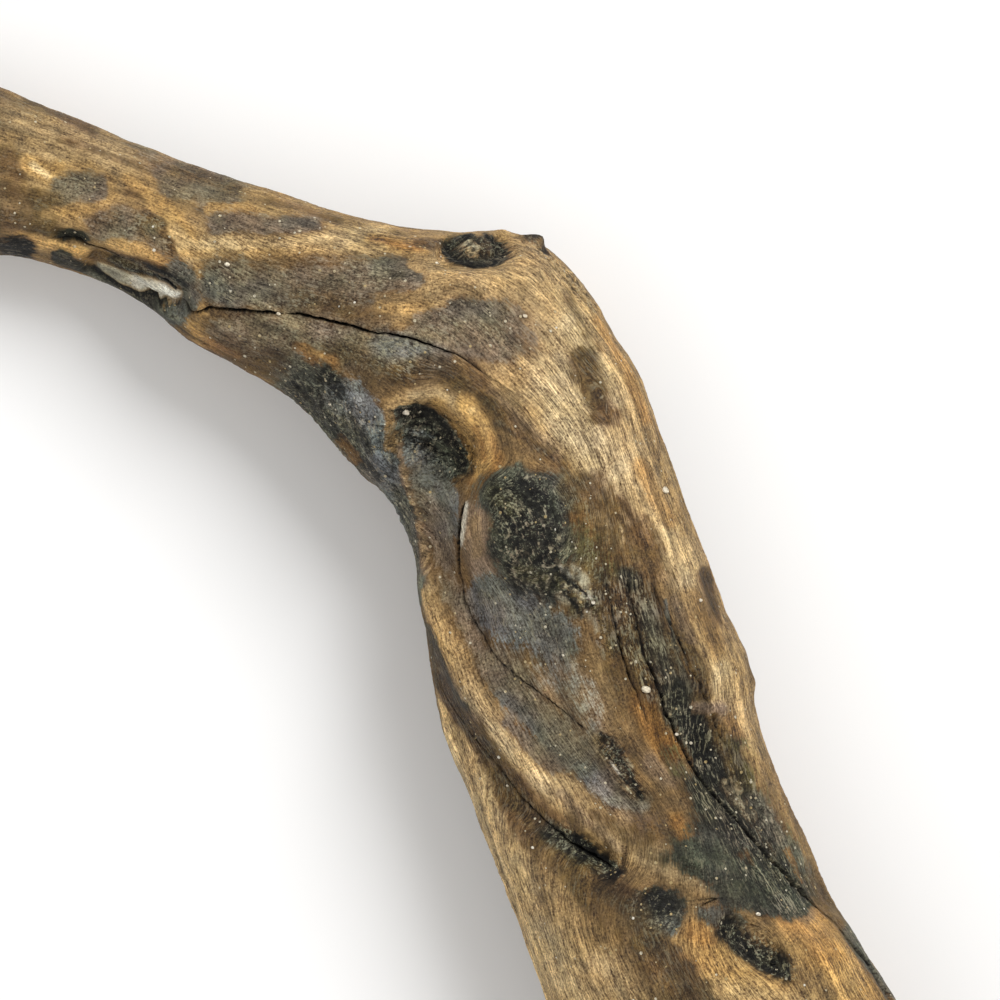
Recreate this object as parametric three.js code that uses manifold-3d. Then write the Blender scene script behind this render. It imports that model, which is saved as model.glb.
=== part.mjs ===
// A piece of driftwood: one crooked, water-worn limb with an elbow, lying on its side.
// Millimetres, +Z up. The origin is on the ground, under the middle of the outline seen from above.
// The limb runs from its thin broken end at the upper left (-X, +Y), over the elbow at the
// top, to its thick torn butt at the lower right (+X, -Y).

import * as THREE from "three";
import { mergeVertices } from "three/addons/utils/BufferGeometryUtils.js";
import Module from "manifold-3d";

// Cross-sections, from the thin end to the butt. Each row holds the plan position of the
// section's outer edge and inner edge, then the height of its middle above the ground, and how
// far the wood rises above and drops below that middle.
const SECTIONS = [
  [-122.0, 126.5, -125.0, 99.5, 18.0, 11.5, 11.0],
  [-110.0, 129.5, -117.5, 94.0, 18.0, 15.0, 15.0],
  [-97.0, 127.0, -104.0, 89.5, 18.5, 17.0, 17.0],
  [-80.5, 120.5, -90.0, 85.0, 19.0, 16.5, 15.5],
  [-66.0, 114.5, -76.0, 83.5, 20.0, 16.0, 14.5],
  [-51.5, 108.7, -60.5, 78.7, 21.5, 16.0, 14.5],
  [-37.5, 103.3, -48.8, 72.6, 23.0, 16.5, 15.0],
  [-23.0, 98.5, -39.0, 64.5, 24.5, 18.0, 16.5],
  [-9.0, 94.0, -28.5, 59.0, 26.0, 20.0, 18.5],
  [5.0, 90.5, -21.0, 55.0, 26.5, 22.0, 20.5],
  [18.0, 89.0, -15.0, 50.5, 27.0, 24.0, 22.0],
  [30.5, 88.7, -10.0, 45.0, 27.5, 25.5, 24.0],
  [40.0, 83.4, -5.5, 40.0, 27.5, 26.5, 25.0],
  [47.3, 75.5, -1.0, 35.0, 28.0, 27.0, 25.0],
  [54.0, 66.0, 3.7, 31.2, 28.5, 27.0, 24.5],
  [60.0, 56.0, 7.2, 25.0, 29.0, 27.0, 24.0],
  [63.5, 45.5, 9.8, 18.0, 29.0, 26.5, 23.5],
  [67.0, 35.5, 11.5, 10.0, 29.0, 26.5, 23.0],
  [71.0, 24.5, 12.2, 3.0, 29.0, 26.0, 23.0],
  [75.0, 14.5, 13.0, -5.5, 29.0, 26.0, 23.0],
  [79.0, 4.5, 14.5, -15.0, 29.0, 26.0, 23.5],
  [83.3, -6.0, 17.3, -24.0, 29.0, 26.0, 24.0],
  [85.0, -18.5, 21.5, -34.0, 29.0, 26.0, 24.5],
  [90.0, -32.5, 25.5, -45.0, 29.5, 26.5, 25.5],
  [96.5, -46.5, 30.5, -57.5, 30.0, 27.0, 26.5],
  [103.0, -60.0, 36.0, -72.5, 30.0, 27.5, 27.5],
  [110.0, -71.0, 41.5, -87.0, 30.5, 28.5, 28.5],
  [117.5, -82.5, 48.5, -100.0, 30.5, 29.0, 29.0],
  [125.0, -95.0, 56.5, -113.5, 30.5, 29.0, 29.0],
  [129.5, -105.0, 64.5, -124.0, 30.5, 27.5, 27.0],
];

// The ends close over beyond the first and last section. The squareness makes them blunter, and
// both broke off raggedly, to a depth that runs out over a share of the limb's length.
const THIN_END = { reach: 7, squareness: 2.4 };
const BUTT_END = { reach: 8, squareness: 3.2 };
const TEAR = { depth: 1.6, span: 0.06 };

// Mesh steps. The rows stand closest in the carved stretch, from the elbow to the long split, and
// the points round the limb stand closer together on its upper side.
const CARVED_SECTIONS = { first: 9, last: 25 };
const ROWS_PER_CARVED_SECTION = 4;
const ROWS_PER_PLAIN_SECTION = 2;
const ROWS_PER_END = 6;
const POINTS_AROUND = 46;
const UPPER_CROWDING = 0.44;

// Wide swells of the trunk: height, turns round the limb, waves along it and phase.
const SWELLS = [
  { height: 0.9, turns: 2, waves: 3.0, phase: 0.4 },
  { height: 0.7, turns: 3, waves: -5.0, phase: 2.1 },
  { height: 0.5, turns: 5, waves: 7.0, phase: 4.0 },
  { height: 0.35, turns: 7, waves: -11.0, phase: 1.3 },
];

// Hollows (negative height) and ridges (positive) on the upper side, each along a path seen from
// above. The edge exponent is 2 for a soft slope, and more for a flat floor with steep sides.
const UPPER_FORMS = [
  { name: "deep hollow", path: [[11.5, 45.0], [17.0, 39.5]], width: 6.6, height: -7.5, edge: 3.2 },
  { name: "hollow's run-out", path: [[12.5, 37.5], [15.0, 26.0], [17.5, 14.0], [22.5, 0.0]],
    width: 5.2, height: -3.0, edge: 2.2 },
  { name: "hollow's rim", path: [[4.5, 46.0], [11.0, 53.5], [20.0, 49.5], [25.0, 41.0], [26.5, 33.0]],
    width: 3.2, height: 1.8, edge: 2 },
  { name: "scar floor", path: [[28.5, 6.0], [42.0, -12.0], [55.0, -28.0], [63.5, -35.0]],
    width: 12.5, height: -2.6, edge: 3.5 },
  { name: "callus roll", path: [[12.5, 12.0], [15.5, -3.0], [23.0, -15.0], [35.0, -27.5],
    [48.5, -37.5], [64.0, -44.5], [76.0, -52.0]], width: 3.4, height: 2.6, edge: 2 },
  { name: "groove outside the roll", path: [[12.5, -1.5], [20.0, -19.5], [32.0, -35.5],
    [50.5, -50.0]], width: 3.2, height: -2.2, edge: 2 },
  { name: "bark boss", path: [[33.0, 29.0], [37.5, 19.5]], width: 9.0, height: 3.4, edge: 3 },
  { name: "charred band", path: [[59.0, 6.0], [65.0, -14.0], [74.0, -29.0], [86.0, -45.0],
    [98.0, -57.0]], width: 5.5, height: -1.9, edge: 2.5 },
  { name: "shoulder right of the band", path: [[66.0, 12.0], [74.0, -10.0], [84.0, -28.0]],
    width: 6.0, height: 1.2, edge: 2 },
  { name: "knot socket", path: [[18.5, 84.0], [28.0, 84.5]], width: 3.3, height: -4.6, edge: 3.5 },
  { name: "lip below the knot", path: [[12.0, 79.5], [24.0, 77.0], [36.0, 80.0]],
    width: 4.0, height: 1.3, edge: 2 },
  { name: "eye slot", path: [[-60.0, 81.5], [-50.5, 77.5], [-42.0, 74.0]],
    width: 3.0, height: -4.2, edge: 3 },
  { name: "black knot hole", path: [[48.5, -46.5], [53.0, -49.5]], width: 2.8, height: -3.0, edge: 2.5 },
  { name: "round dent", path: [[64.0, -59.0], [64.5, -60.0]], width: 5.2, height: -1.7, edge: 2.6 },
  { name: "long pit", path: [[80.0, -64.0], [88.0, -70.5]], width: 3.2, height: -3.4, edge: 2.8 },
  { name: "hip by the long pit", path: [[98.0, -70.0], [92.0, -84.0]], width: 9.0, height: 1.6, edge: 2 },
  { name: "dip on the upper limb", path: [[-20.0, 82.0], [4.0, 74.0]], width: 8.0, height: -1.2, edge: 2 },
];

// The same, on the underside. The three feet are worn flat where the wood stands on the ground.
const LOWER_FORMS = [
  { name: "foot under the thin end", path: [[-98.0, 112.0], [-92.0, 110.0]], width: 8.0, height: 3.6, edge: 2.4 },
  { name: "foot under the elbow", path: [[32.0, 76.0], [38.0, 70.0]], width: 9.0, height: 10.0, edge: 2.4 },
  { name: "foot under the butt", path: [[80.0, -96.0], [90.0, -102.0]], width: 11.0, height: 3.0, edge: 2.4 },
  { name: "long flute", path: [[20.0, 40.0], [34.0, 4.0], [56.0, -40.0]], width: 7.0, height: -3.2, edge: 2.2 },
  { name: "side flute", path: [[-50.0, 100.0], [-20.0, 86.0], [4.0, 74.0]], width: 5.0, height: -2.2, edge: 2 },
  { name: "knot swelling", path: [[70.0, -30.0], [74.0, -36.0]], width: 8.0, height: 3.0, edge: 2 },
];

// Splits: wedges towards the heart of the limb, along a path seen from above. Each point gives
// its plan position, the opening there and the depth.
const SPLITS = [
  { name: "split along the upper limb", points: [
    [-41.5, 73.3, 0.9, 4], [-28.5, 71.5, 1.3, 6], [-15.5, 70.6, 1.2, 6],
    [-4.0, 68.2, 1.1, 6], [7.5, 65.6, 0.8, 5], [19.5, 62.7, 0.3, 2]] },
  { name: "slit in the eye slot", points: [
    [-63.0, 82.0, 0.4, 2], [-55.0, 77.8, 1.6, 6], [-48.5, 74.8, 1.8, 7], [-42.5, 72.8, 0.9, 4]] },
  { name: "split beside the run-out", points: [
    [20.6, 29.5, 0.4, 2], [19.4, 23.3, 1.1, 4], [19.6, 16.7, 1.1, 4],
    [21.1, 10.1, 0.9, 3], [24.2, 3.1, 0.6, 2], [29.7, -6.4, 0.3, 1]] },
  { name: "long split to the butt", points: [
    [60.5, -9.0, 0.4, 2], [65.0, -19.0, 0.8, 4], [70.4, -28.6, 0.9, 5], [77.4, -36.8, 1.4, 7],
    [85.8, -46.6, 1.6, 9], [93.5, -54.8, 2.4, 10], [100.8, -62.9, 1.8, 10],
    [107.0, -70.2, 1.8, 10], [113.2, -79.5, 2.0, 10], [118.5, -89.5, 1.6, 9],
    [122.5, -99.0, 0.8, 6]] },
];
const SPLIT_TOP = 4; // how far a wedge stands out above the surface

// Dead twigs that broke off short: root in the wood, tip, and radius at the root and the tip.
const TWIGS = [
  { name: "stub on the elbow", root: [32.5, 80.0, 27.0], tip: [36.0, 88.8, 28.5], radii: [4.6, 1.9] },
  { name: "plug in the knot", root: [22.5, 78.0, 33.0], tip: [24.0, 85.4, 38.6], radii: [4.4, 2.6] },
];
const TWIG_SIDES = 9;

// Radial checks in the torn butt: direction round the face in degrees, length and opening.
const BUTT_CHECKS = [
  { direction: 40, length: 24, opening: 2.2 },
  { direction: 155, length: 20, opening: 1.8 },
  { direction: 262, length: 22, opening: 1.6 },
];
const CHECK_DEPTH = 12;
const HEART_STEPS = 240; // places tried along the limb when looking for the nearest section

const WOOD = new THREE.MeshStandardMaterial({ color: 0x9a7f5a, roughness: 0.86, metalness: 0 });

const smooth = (low, high, x) => THREE.MathUtils.smoothstep(x, low, high);

function edgeCurve(column) {
  return new THREE.CatmullRomCurve3(
    SECTIONS.map((row) => new THREE.Vector3(row[column], row[column + 1], row[4])),
    false,
    "catmullrom",
    0.5,
  );
}
const outerEdge = edgeCurve(0);
const innerEdge = edgeCurve(2);
const riseAndDrop = new THREE.CatmullRomCurve3(
  SECTIONS.map((row) => new THREE.Vector3(row[5], row[6], 0)),
  false,
  "catmullrom",
  0.5,
);

// The section at a place along the limb, from 0 at the first section to 1 at the last.
function sectionAt(along) {
  const outer = outerEdge.getPoint(along);
  const inner = innerEdge.getPoint(along);
  const heights = riseAndDrop.getPoint(along);
  return {
    middle: outer.clone().add(inner).multiplyScalar(0.5),
    half: outer.clone().sub(inner).multiplyScalar(0.5),
    rise: heights.x,
    drop: heights.y,
  };
}

function distanceToPath(x, y, path) {
  let nearest = Infinity;
  for (let i = 0; i + 1 < path.length; i++) {
    const [ax, ay] = path[i];
    const [dx, dy] = [path[i + 1][0] - ax, path[i + 1][1] - ay];
    const share = THREE.MathUtils.clamp(((x - ax) * dx + (y - ay) * dy) / (dx * dx + dy * dy), 0, 1);
    nearest = Math.min(nearest, Math.hypot(x - ax - share * dx, y - ay - share * dy));
  }
  return nearest;
}

// How far the forms raise the surface at a plan position, on the side that faces up or down.
function formHeight(x, y, forms) {
  let height = 0;
  for (const form of forms) {
    height += form.height * Math.exp(-((distanceToPath(x, y, form.path) / form.width) ** form.edge));
  }
  return height;
}

// How far the broken ends stand out or back at an angle round the limb.
function tearReach(along, around) {
  const wave = Math.sin(2 * around + 0.6) + 0.7 * Math.sin(5 * around + 2.0);
  const atEnd = 1 - smooth(0, TEAR.span, Math.min(along, 1 - along));
  return TEAR.depth * atEnd * wave;
}

function swellHeight(along, around) {
  let height = 0;
  for (const swell of SWELLS) {
    height += swell.height * Math.sin(swell.turns * around + swell.waves * 2 * Math.PI * along + swell.phase);
  }
  return height;
}

// A point of the surface. The angle round the limb is 0 at the outer edge and a quarter turn on
// top. The share, from 1 at a full section to 0, and the reach close the ends.
function surfacePoint(along, around, share, reach) {
  const section = sectionAt(along);
  const [c, s] = [Math.cos(around), Math.sin(around)];
  const heightScale = s > 0 ? section.rise : section.drop;
  const width = section.half.length();
  const side = section.half.clone().divideScalar(width);
  const base = section.middle
    .clone()
    .addScaledVector(side, width * c * share)
    .add(new THREE.Vector3(0, 0, heightScale * s * share))
    .addScaledVector(new THREE.Vector3(side.y, -side.x, 0), reach + share * tearReach(along, around));
  const outward = side
    .clone()
    .multiplyScalar(c / width)
    .add(new THREE.Vector3(0, 0, s / heightScale))
    .normalize();
  const point = base.clone();
  const facingUp = smooth(-0.15, 0.3, s);
  const facingDown = smooth(-0.15, 0.3, -s);
  // The forms are placed as seen from above, so the raised point is looked up again.
  for (let pass = 0; pass < 3; pass++) {
    const height =
      s * s * swellHeight(along, around) +
      facingUp * formHeight(point.x, point.y, UPPER_FORMS) +
      facingDown * formHeight(point.x, point.y, LOWER_FORMS);
    point.copy(base).addScaledVector(outward, height * share);
  }
  return point;
}

// Rows from end to end: place along the limb, share of the section, and reach past its end.
function limbRows() {
  const rows = [];
  const closing = (end, step) => {
    const out = Math.sin((step / ROWS_PER_END) * (Math.PI / 2));
    return {
      share: (1 - out ** end.squareness) ** (1 / end.squareness),
      reach: end.reach * out,
    };
  };
  for (let step = ROWS_PER_END - 1; step > 0; step--) {
    const { share, reach } = closing(THIN_END, step);
    rows.push({ along: 0, share, reach: -reach });
  }
  const spans = SECTIONS.length - 1;
  for (let span = 0; span < spans; span++) {
    const carved = span >= CARVED_SECTIONS.first && span < CARVED_SECTIONS.last;
    const steps = carved ? ROWS_PER_CARVED_SECTION : ROWS_PER_PLAIN_SECTION;
    for (let step = 0; step < steps; step++) {
      rows.push({ along: (span + step / steps) / spans, share: 1, reach: 0 });
    }
  }
  rows.push({ along: 1, share: 1, reach: 0 });
  for (let step = 1; step < ROWS_PER_END; step++) {
    rows.push({ along: 1, ...closing(BUTT_END, step) });
  }
  return rows;
}

function limbGeometry() {
  const rows = limbRows();
  const places = [];
  for (const { along, share, reach } of rows) {
    for (let i = 0; i < POINTS_AROUND; i++) {
      const even = (i / POINTS_AROUND) * 2 * Math.PI;
      const around = even + UPPER_CROWDING * Math.cos(even);
      places.push(surfacePoint(along, around, share, reach));
    }
  }
  const tips = [surfacePoint(0, 0, 0, -THIN_END.reach), surfacePoint(1, 0, 0, BUTT_END.reach)];
  const [thinTip, buttTip] = [places.length, places.length + 1];
  places.push(...tips);
  const faces = [];
  const last = (rows.length - 1) * POINTS_AROUND;
  for (let i = 0; i < POINTS_AROUND; i++) {
    const next = (i + 1) % POINTS_AROUND;
    faces.push(thinTip, next, i);
    faces.push(buttTip, last + i, last + next);
    for (let row = 0; row + 1 < rows.length; row++) {
      const [here, there] = [row * POINTS_AROUND, (row + 1) * POINTS_AROUND];
      faces.push(...flatterSplit(places, [here + i, here + next, there + next, there + i]));
    }
  }
  return closedGeometry(places, faces);
}

// Two triangles over four corners, split along the diagonal where the surface bends less, so
// that ridges and the edges of hollows run clean across the grid.
function flatterSplit(places, [a, b, c, d]) {
  const bend = (first, second) => {
    const [one, two] = [first, second].map((corners) =>
      new THREE.Triangle(...corners.map((i) => places[i])).getNormal(new THREE.Vector3()),
    );
    return one.angleTo(two);
  };
  const straight = [[a, b, c], [a, c, d]];
  const crossed = [[a, b, d], [b, c, d]];
  return (bend(...straight) <= bend(...crossed) ? straight : crossed).flat();
}

function closedGeometry(places, faces) {
  const geometry = new THREE.BufferGeometry().setFromPoints(places);
  geometry.setIndex(faces);
  return geometry;
}

// A wedge with its edge down in the wood, through stations that each give a point of the
// surface, the unit vectors out of the wood and across the split, the opening and the depth.
function wedgeGeometry(stations) {
  const places = [];
  for (const { point, out, across, opening, depth } of stations) {
    const halfTop = (opening / 2) * ((depth + SPLIT_TOP) / depth);
    const top = point.clone().addScaledVector(out, SPLIT_TOP);
    places.push(top.clone().addScaledVector(across, halfTop));
    places.push(top.clone().addScaledVector(across, -halfTop));
    places.push(point.clone().addScaledVector(out, -depth));
  }
  const faces = [0, 2, 1];
  for (let i = 0; i + 1 < stations.length; i++) {
    for (let k = 0; k < 3; k++) {
      const [a, b] = [3 * i + k, 3 * i + ((k + 1) % 3)];
      faces.push(a, b + 3, a + 3, a, b, b + 3);
    }
  }
  const end = 3 * (stations.length - 1);
  faces.push(end, end + 1, end + 2);
  return closedGeometry(places, faces);
}

// The middle of the section that a plan position belongs to.
function heartNear(x, y) {
  let nearest = null;
  let least = Infinity;
  for (let step = 0; step <= HEART_STEPS; step++) {
    const { middle, half } = sectionAt(step / HEART_STEPS);
    const ahead = Math.abs((x - middle.x) * half.y - (y - middle.y) * half.x) / half.length();
    const distance = ahead + 0.1 * Math.hypot(x - middle.x, y - middle.y);
    if (distance < least) {
      least = distance;
      nearest = middle;
    }
  }
  return nearest;
}

function splitWedge(split, limb) {
  const ray = new THREE.Raycaster();
  const points = split.points.map(([x, y]) => {
    ray.set(new THREE.Vector3(x, y, 200), new THREE.Vector3(0, 0, -1));
    return ray.intersectObject(limb)[0].point;
  });
  const stations = split.points.map(([x, y, opening, depth], i) => {
    const run = points[Math.min(i + 1, points.length - 1)].clone().sub(points[Math.max(i - 1, 0)]);
    const out = points[i].clone().sub(heartNear(x, y)).normalize();
    const across = new THREE.Vector3().crossVectors(out, run).normalize();
    return { point: points[i], out, across, opening, depth };
  });
  return wedgeGeometry(stations);
}

function checkWedge(check) {
  const { middle, half } = sectionAt(1);
  const side = half.clone().normalize();
  const out = new THREE.Vector3(side.y, -side.x, 0);
  const turn = THREE.MathUtils.degToRad(check.direction);
  const radial = side.clone().multiplyScalar(Math.cos(turn)).add(new THREE.Vector3(0, 0, Math.sin(turn)));
  const across = new THREE.Vector3().crossVectors(out, radial).normalize();
  const face = middle.clone().addScaledVector(out, BUTT_END.reach);
  const stations = [3, check.length, check.length + 14].map((distance, i) => ({
    point: face.clone().addScaledVector(radial, distance),
    out,
    across,
    opening: check.opening * [0.15, 0.8, 1.2][i],
    depth: CHECK_DEPTH,
  }));
  return wedgeGeometry(stations);
}

function twigGeometry(twig) {
  const root = new THREE.Vector3(...twig.root);
  const axis = new THREE.Vector3(...twig.tip).sub(root);
  const length = axis.length();
  const upright = new THREE.Vector3(0, 1, 0);
  const turn = new THREE.Quaternion().setFromUnitVectors(upright, axis.clone().normalize());
  return new THREE.CylinderGeometry(twig.radii[1], twig.radii[0], length, TWIG_SIDES)
    .translate(0, length / 2, 0)
    .applyQuaternion(turn)
    .translate(root.x, root.y, root.z);
}

const wasm = await Module();
wasm.setup();

function solidOf(geometry) {
  const bare = geometry.clone();
  bare.deleteAttribute("normal");
  bare.deleteAttribute("uv");
  const merged = mergeVertices(bare);
  return new wasm.Manifold(
    new wasm.Mesh({
      numProp: 3,
      vertProperties: new Float32Array(merged.attributes.position.array),
      triVerts: new Uint32Array(merged.index.array),
    }),
  );
}

function geometryOf(solid) {
  const mesh = solid.getMesh();
  const geometry = new THREE.BufferGeometry();
  geometry.setAttribute("position", new THREE.BufferAttribute(new Float32Array(mesh.vertProperties), 3));
  geometry.setIndex(new THREE.BufferAttribute(new Uint32Array(mesh.triVerts), 1));
  geometry.computeVertexNormals();
  return geometry;
}

// Everything below the ground plane, which cuts the three feet flat.
function groundBlock() {
  const depth = 40;
  return new THREE.BoxGeometry(600, 600, depth).translate(0, 0, -depth / 2);
}

function driftwood() {
  const limb = new THREE.Mesh(limbGeometry(), WOOD);
  let solid = solidOf(limb.geometry);
  for (const twig of TWIGS) {
    solid = solid.add(solidOf(twigGeometry(twig)));
  }
  for (const split of SPLITS) {
    solid = solid.subtract(solidOf(splitWedge(split, limb)));
  }
  for (const check of BUTT_CHECKS) {
    solid = solid.subtract(solidOf(checkWedge(check)));
  }
  solid = solid.subtract(solidOf(groundBlock()));
  const mesh = new THREE.Mesh(geometryOf(solid), WOOD);
  mesh.name = "driftwood";
  return mesh;
}

const part = new THREE.Group();
part.add(driftwood());

export default part;
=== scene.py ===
# The looks of the driftwood limb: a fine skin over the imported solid, its stains and its grain.
# The script's own unit is the millimetre, until the meshes are written in metres.

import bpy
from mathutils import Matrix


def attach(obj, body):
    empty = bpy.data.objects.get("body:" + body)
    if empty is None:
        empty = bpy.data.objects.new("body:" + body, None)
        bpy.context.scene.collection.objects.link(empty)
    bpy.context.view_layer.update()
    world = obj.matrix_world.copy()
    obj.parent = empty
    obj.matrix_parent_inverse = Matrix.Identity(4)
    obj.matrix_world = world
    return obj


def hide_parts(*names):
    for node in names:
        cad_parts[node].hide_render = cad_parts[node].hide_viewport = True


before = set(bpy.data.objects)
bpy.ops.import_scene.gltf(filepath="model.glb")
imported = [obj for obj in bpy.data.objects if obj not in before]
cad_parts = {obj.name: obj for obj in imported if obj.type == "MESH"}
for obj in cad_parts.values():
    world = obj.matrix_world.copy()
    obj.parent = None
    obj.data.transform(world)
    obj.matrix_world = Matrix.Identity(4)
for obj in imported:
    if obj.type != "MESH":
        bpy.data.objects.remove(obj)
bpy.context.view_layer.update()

from types import SimpleNamespace

import bpy
import numpy as np
from mathutils import Vector

MM = 0.001
SEED = 20437


def table(text):
    """Rows of a plain-text table, each a name, its single numbers and a list of its points.

    An indented line goes on with the row above it.
    """
    rows = []
    for line in text.strip().replace("\n ", " ").splitlines():
        if not line.startswith("#"):
            name, cells = line.split(":")
            cells = [tuple(map(float, cell.split(","))) for cell in cells.split()]
            numbers = [cell[0] for cell in cells if len(cell) == 1]
            rows.append((name, *numbers, [cell for cell in cells if len(cell) > 1]))
    return rows


# The limb's form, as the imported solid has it. Each section holds the plan position of its outer
# edge and inner edge, the height of its middle, its rise above the middle and its drop below.
SECTIONS = np.array([line.split() for line in """
-122 126.5 -125 99.5 18 11.5 11
-110 129.5 -117.5 94 18 15 15
-97 127 -104 89.5 18.5 17 17
-80.5 120.5 -90 85 19 16.5 15.5
-66 114.5 -76 83.5 20 16 14.5
-51.5 108.7 -60.5 78.7 21.5 16 14.5
-37.5 103.3 -48.8 72.6 23 16.5 15
-23 98.5 -39 64.5 24.5 18 16.5
-9 94 -28.5 59 26 20 18.5
5 90.5 -21 55 26.5 22 20.5
18 89 -15 50.5 27 24 22
30.5 88.7 -10 45 27.5 25.5 24
40 83.4 -5.5 40 27.5 26.5 25
47.3 75.5 -1 35 28 27 25
54 66 3.7 31.2 28.5 27 24.5
60 56 7.2 25 29 27 24
63.5 45.5 9.8 18 29 26.5 23.5
67 35.5 11.5 10 29 26.5 23
71 24.5 12.2 3 29 26 23
75 14.5 13 -5.5 29 26 23
79 4.5 14.5 -15 29 26 23.5
83.3 -6 17.3 -24 29 26 24
85 -18.5 21.5 -34 29 26 24.5
90 -32.5 25.5 -45 29.5 26.5 25.5
96.5 -46.5 30.5 -57.5 30 27 26.5
103 -60 36 -72.5 30 27.5 27.5
110 -71 41.5 -87 30.5 28.5 28.5
117.5 -82.5 48.5 -100 30.5 29 29
125 -95 56.5 -113.5 30.5 29 29
129.5 -105 64.5 -124 30.5 27.5 27
""".strip().splitlines()], float)
SPANS = len(SECTIONS) - 1
END_REACH = (7.0, 8.0)
END_SQUARENESS = (2.4, 3.2)
TEAR_DEPTH = 1.6
TEAR_SPAN = 0.06

# Wide swells of the trunk: height, turns round the limb, waves along it and phase.
SWELLS = [(0.9, 2, 3.0, 0.4), (0.7, 3, -5.0, 2.1), (0.5, 5, 7.0, 4.0), (0.35, 7, -11.0, 1.3)]

# Hollows and ridges: width, height, edge exponent, and path seen from above.
UPPER_FORMS = table("""
deep hollow: 6.6 -7.5 3.2 11.5,45 17,39.5
hollow's run-out: 5.2 -3 2.2 12.5,37.5 15,26 17.5,14 22.5,0
hollow's rim: 3.2 1.8 2 4.5,46 11,53.5 20,49.5 25,41 26.5,33
scar floor: 12.5 -2.6 3.5 28.5,6 42,-12 55,-28 63.5,-35
callus roll: 3.4 2.6 2 12.5,12 15.5,-3 23,-15 35,-27.5 48.5,-37.5 64,-44.5 76,-52
groove outside the roll: 3.2 -2.2 2 12.5,-1.5 20,-19.5 32,-35.5 50.5,-50
bark boss: 9 3.4 3 33,29 37.5,19.5
charred band: 5.5 -1.9 2.5 59,6 65,-14 74,-29 86,-45 98,-57
shoulder right of the band: 6 1.2 2 66,12 74,-10 84,-28
knot socket: 3.3 -4.6 3.5 18.5,84 28,84.5
lip below the knot: 4 1.3 2 12,79.5 24,77 36,80
eye slot: 3 -4.2 3 -60,81.5 -50.5,77.5 -42,74
black knot hole: 2.8 -3 2.5 48.5,-46.5 53,-49.5
round dent: 5.2 -1.7 2.6 64,-59 64.5,-60
long pit: 3.2 -3.4 2.8 80,-64 88,-70.5
hip by the long pit: 9 1.6 2 98,-70 92,-84
dip on the upper limb: 8 -1.2 2 -20,82 4,74
""")
LOWER_FORMS = table("""
foot under the thin end: 8 3.6 2.4 -98,112 -92,110
foot under the elbow: 9 10 2.4 32,76 38,70
foot under the butt: 11 3 2.4 80,-96 90,-102
long flute: 7 -3.2 2.2 20,40 34,4 56,-40
side flute: 5 -2.2 2 -50,100 -20,86 4,74
knot swelling: 8 3 2 70,-30 74,-36
""")

# Smaller forms of the upper side, which only the fine skin shows.
FINE_FORMS = table("""
plug in the knot: 2.4 3 2.6 22,85.6 25.5,85.6
step in the hollow: 1.1 0.9 2 9,43 14,43.5 19,40.5
hollow's undercut: 1.5 -1.6 2 8,48.5 14,48.8 18.5,45 21.3,39.5
thin ridge beside the run-out: 1.2 0.9 2 6.2,43.5 8.2,33 11,20 13,8
lip of the curved split: 1 0.9 2 21.6,28.5 20.9,20
slot's lower lip: 1 0.8 2 -59,77.3 -50,73.2 -44,70.2
slot's pale face: 1.5 1.3 2.6 -59,81.4 -51,78 -43,75.4
pit near the thin end: 1.5 -1.8 2.6 -68.5,88.5 -64,88.2
torn pit: 1.9 -1.5 2.6 51,-23.5 55.5,-29 58,-34.5
pit cluster: 2 -1.2 3 -10,53.5 -7.5,50.5
pink bump: 1.7 1.1 2 73.5,-15.5 76.5,-16.2
brown dent: 3 -0.8 2 47.5,55.5 50,51
dent at the right edge: 2.4 -0.9 2 74,12.5 76.5,6
rough pit's floor: 1.3 1 2 81,-64.5 87,-69.5
""")

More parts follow.
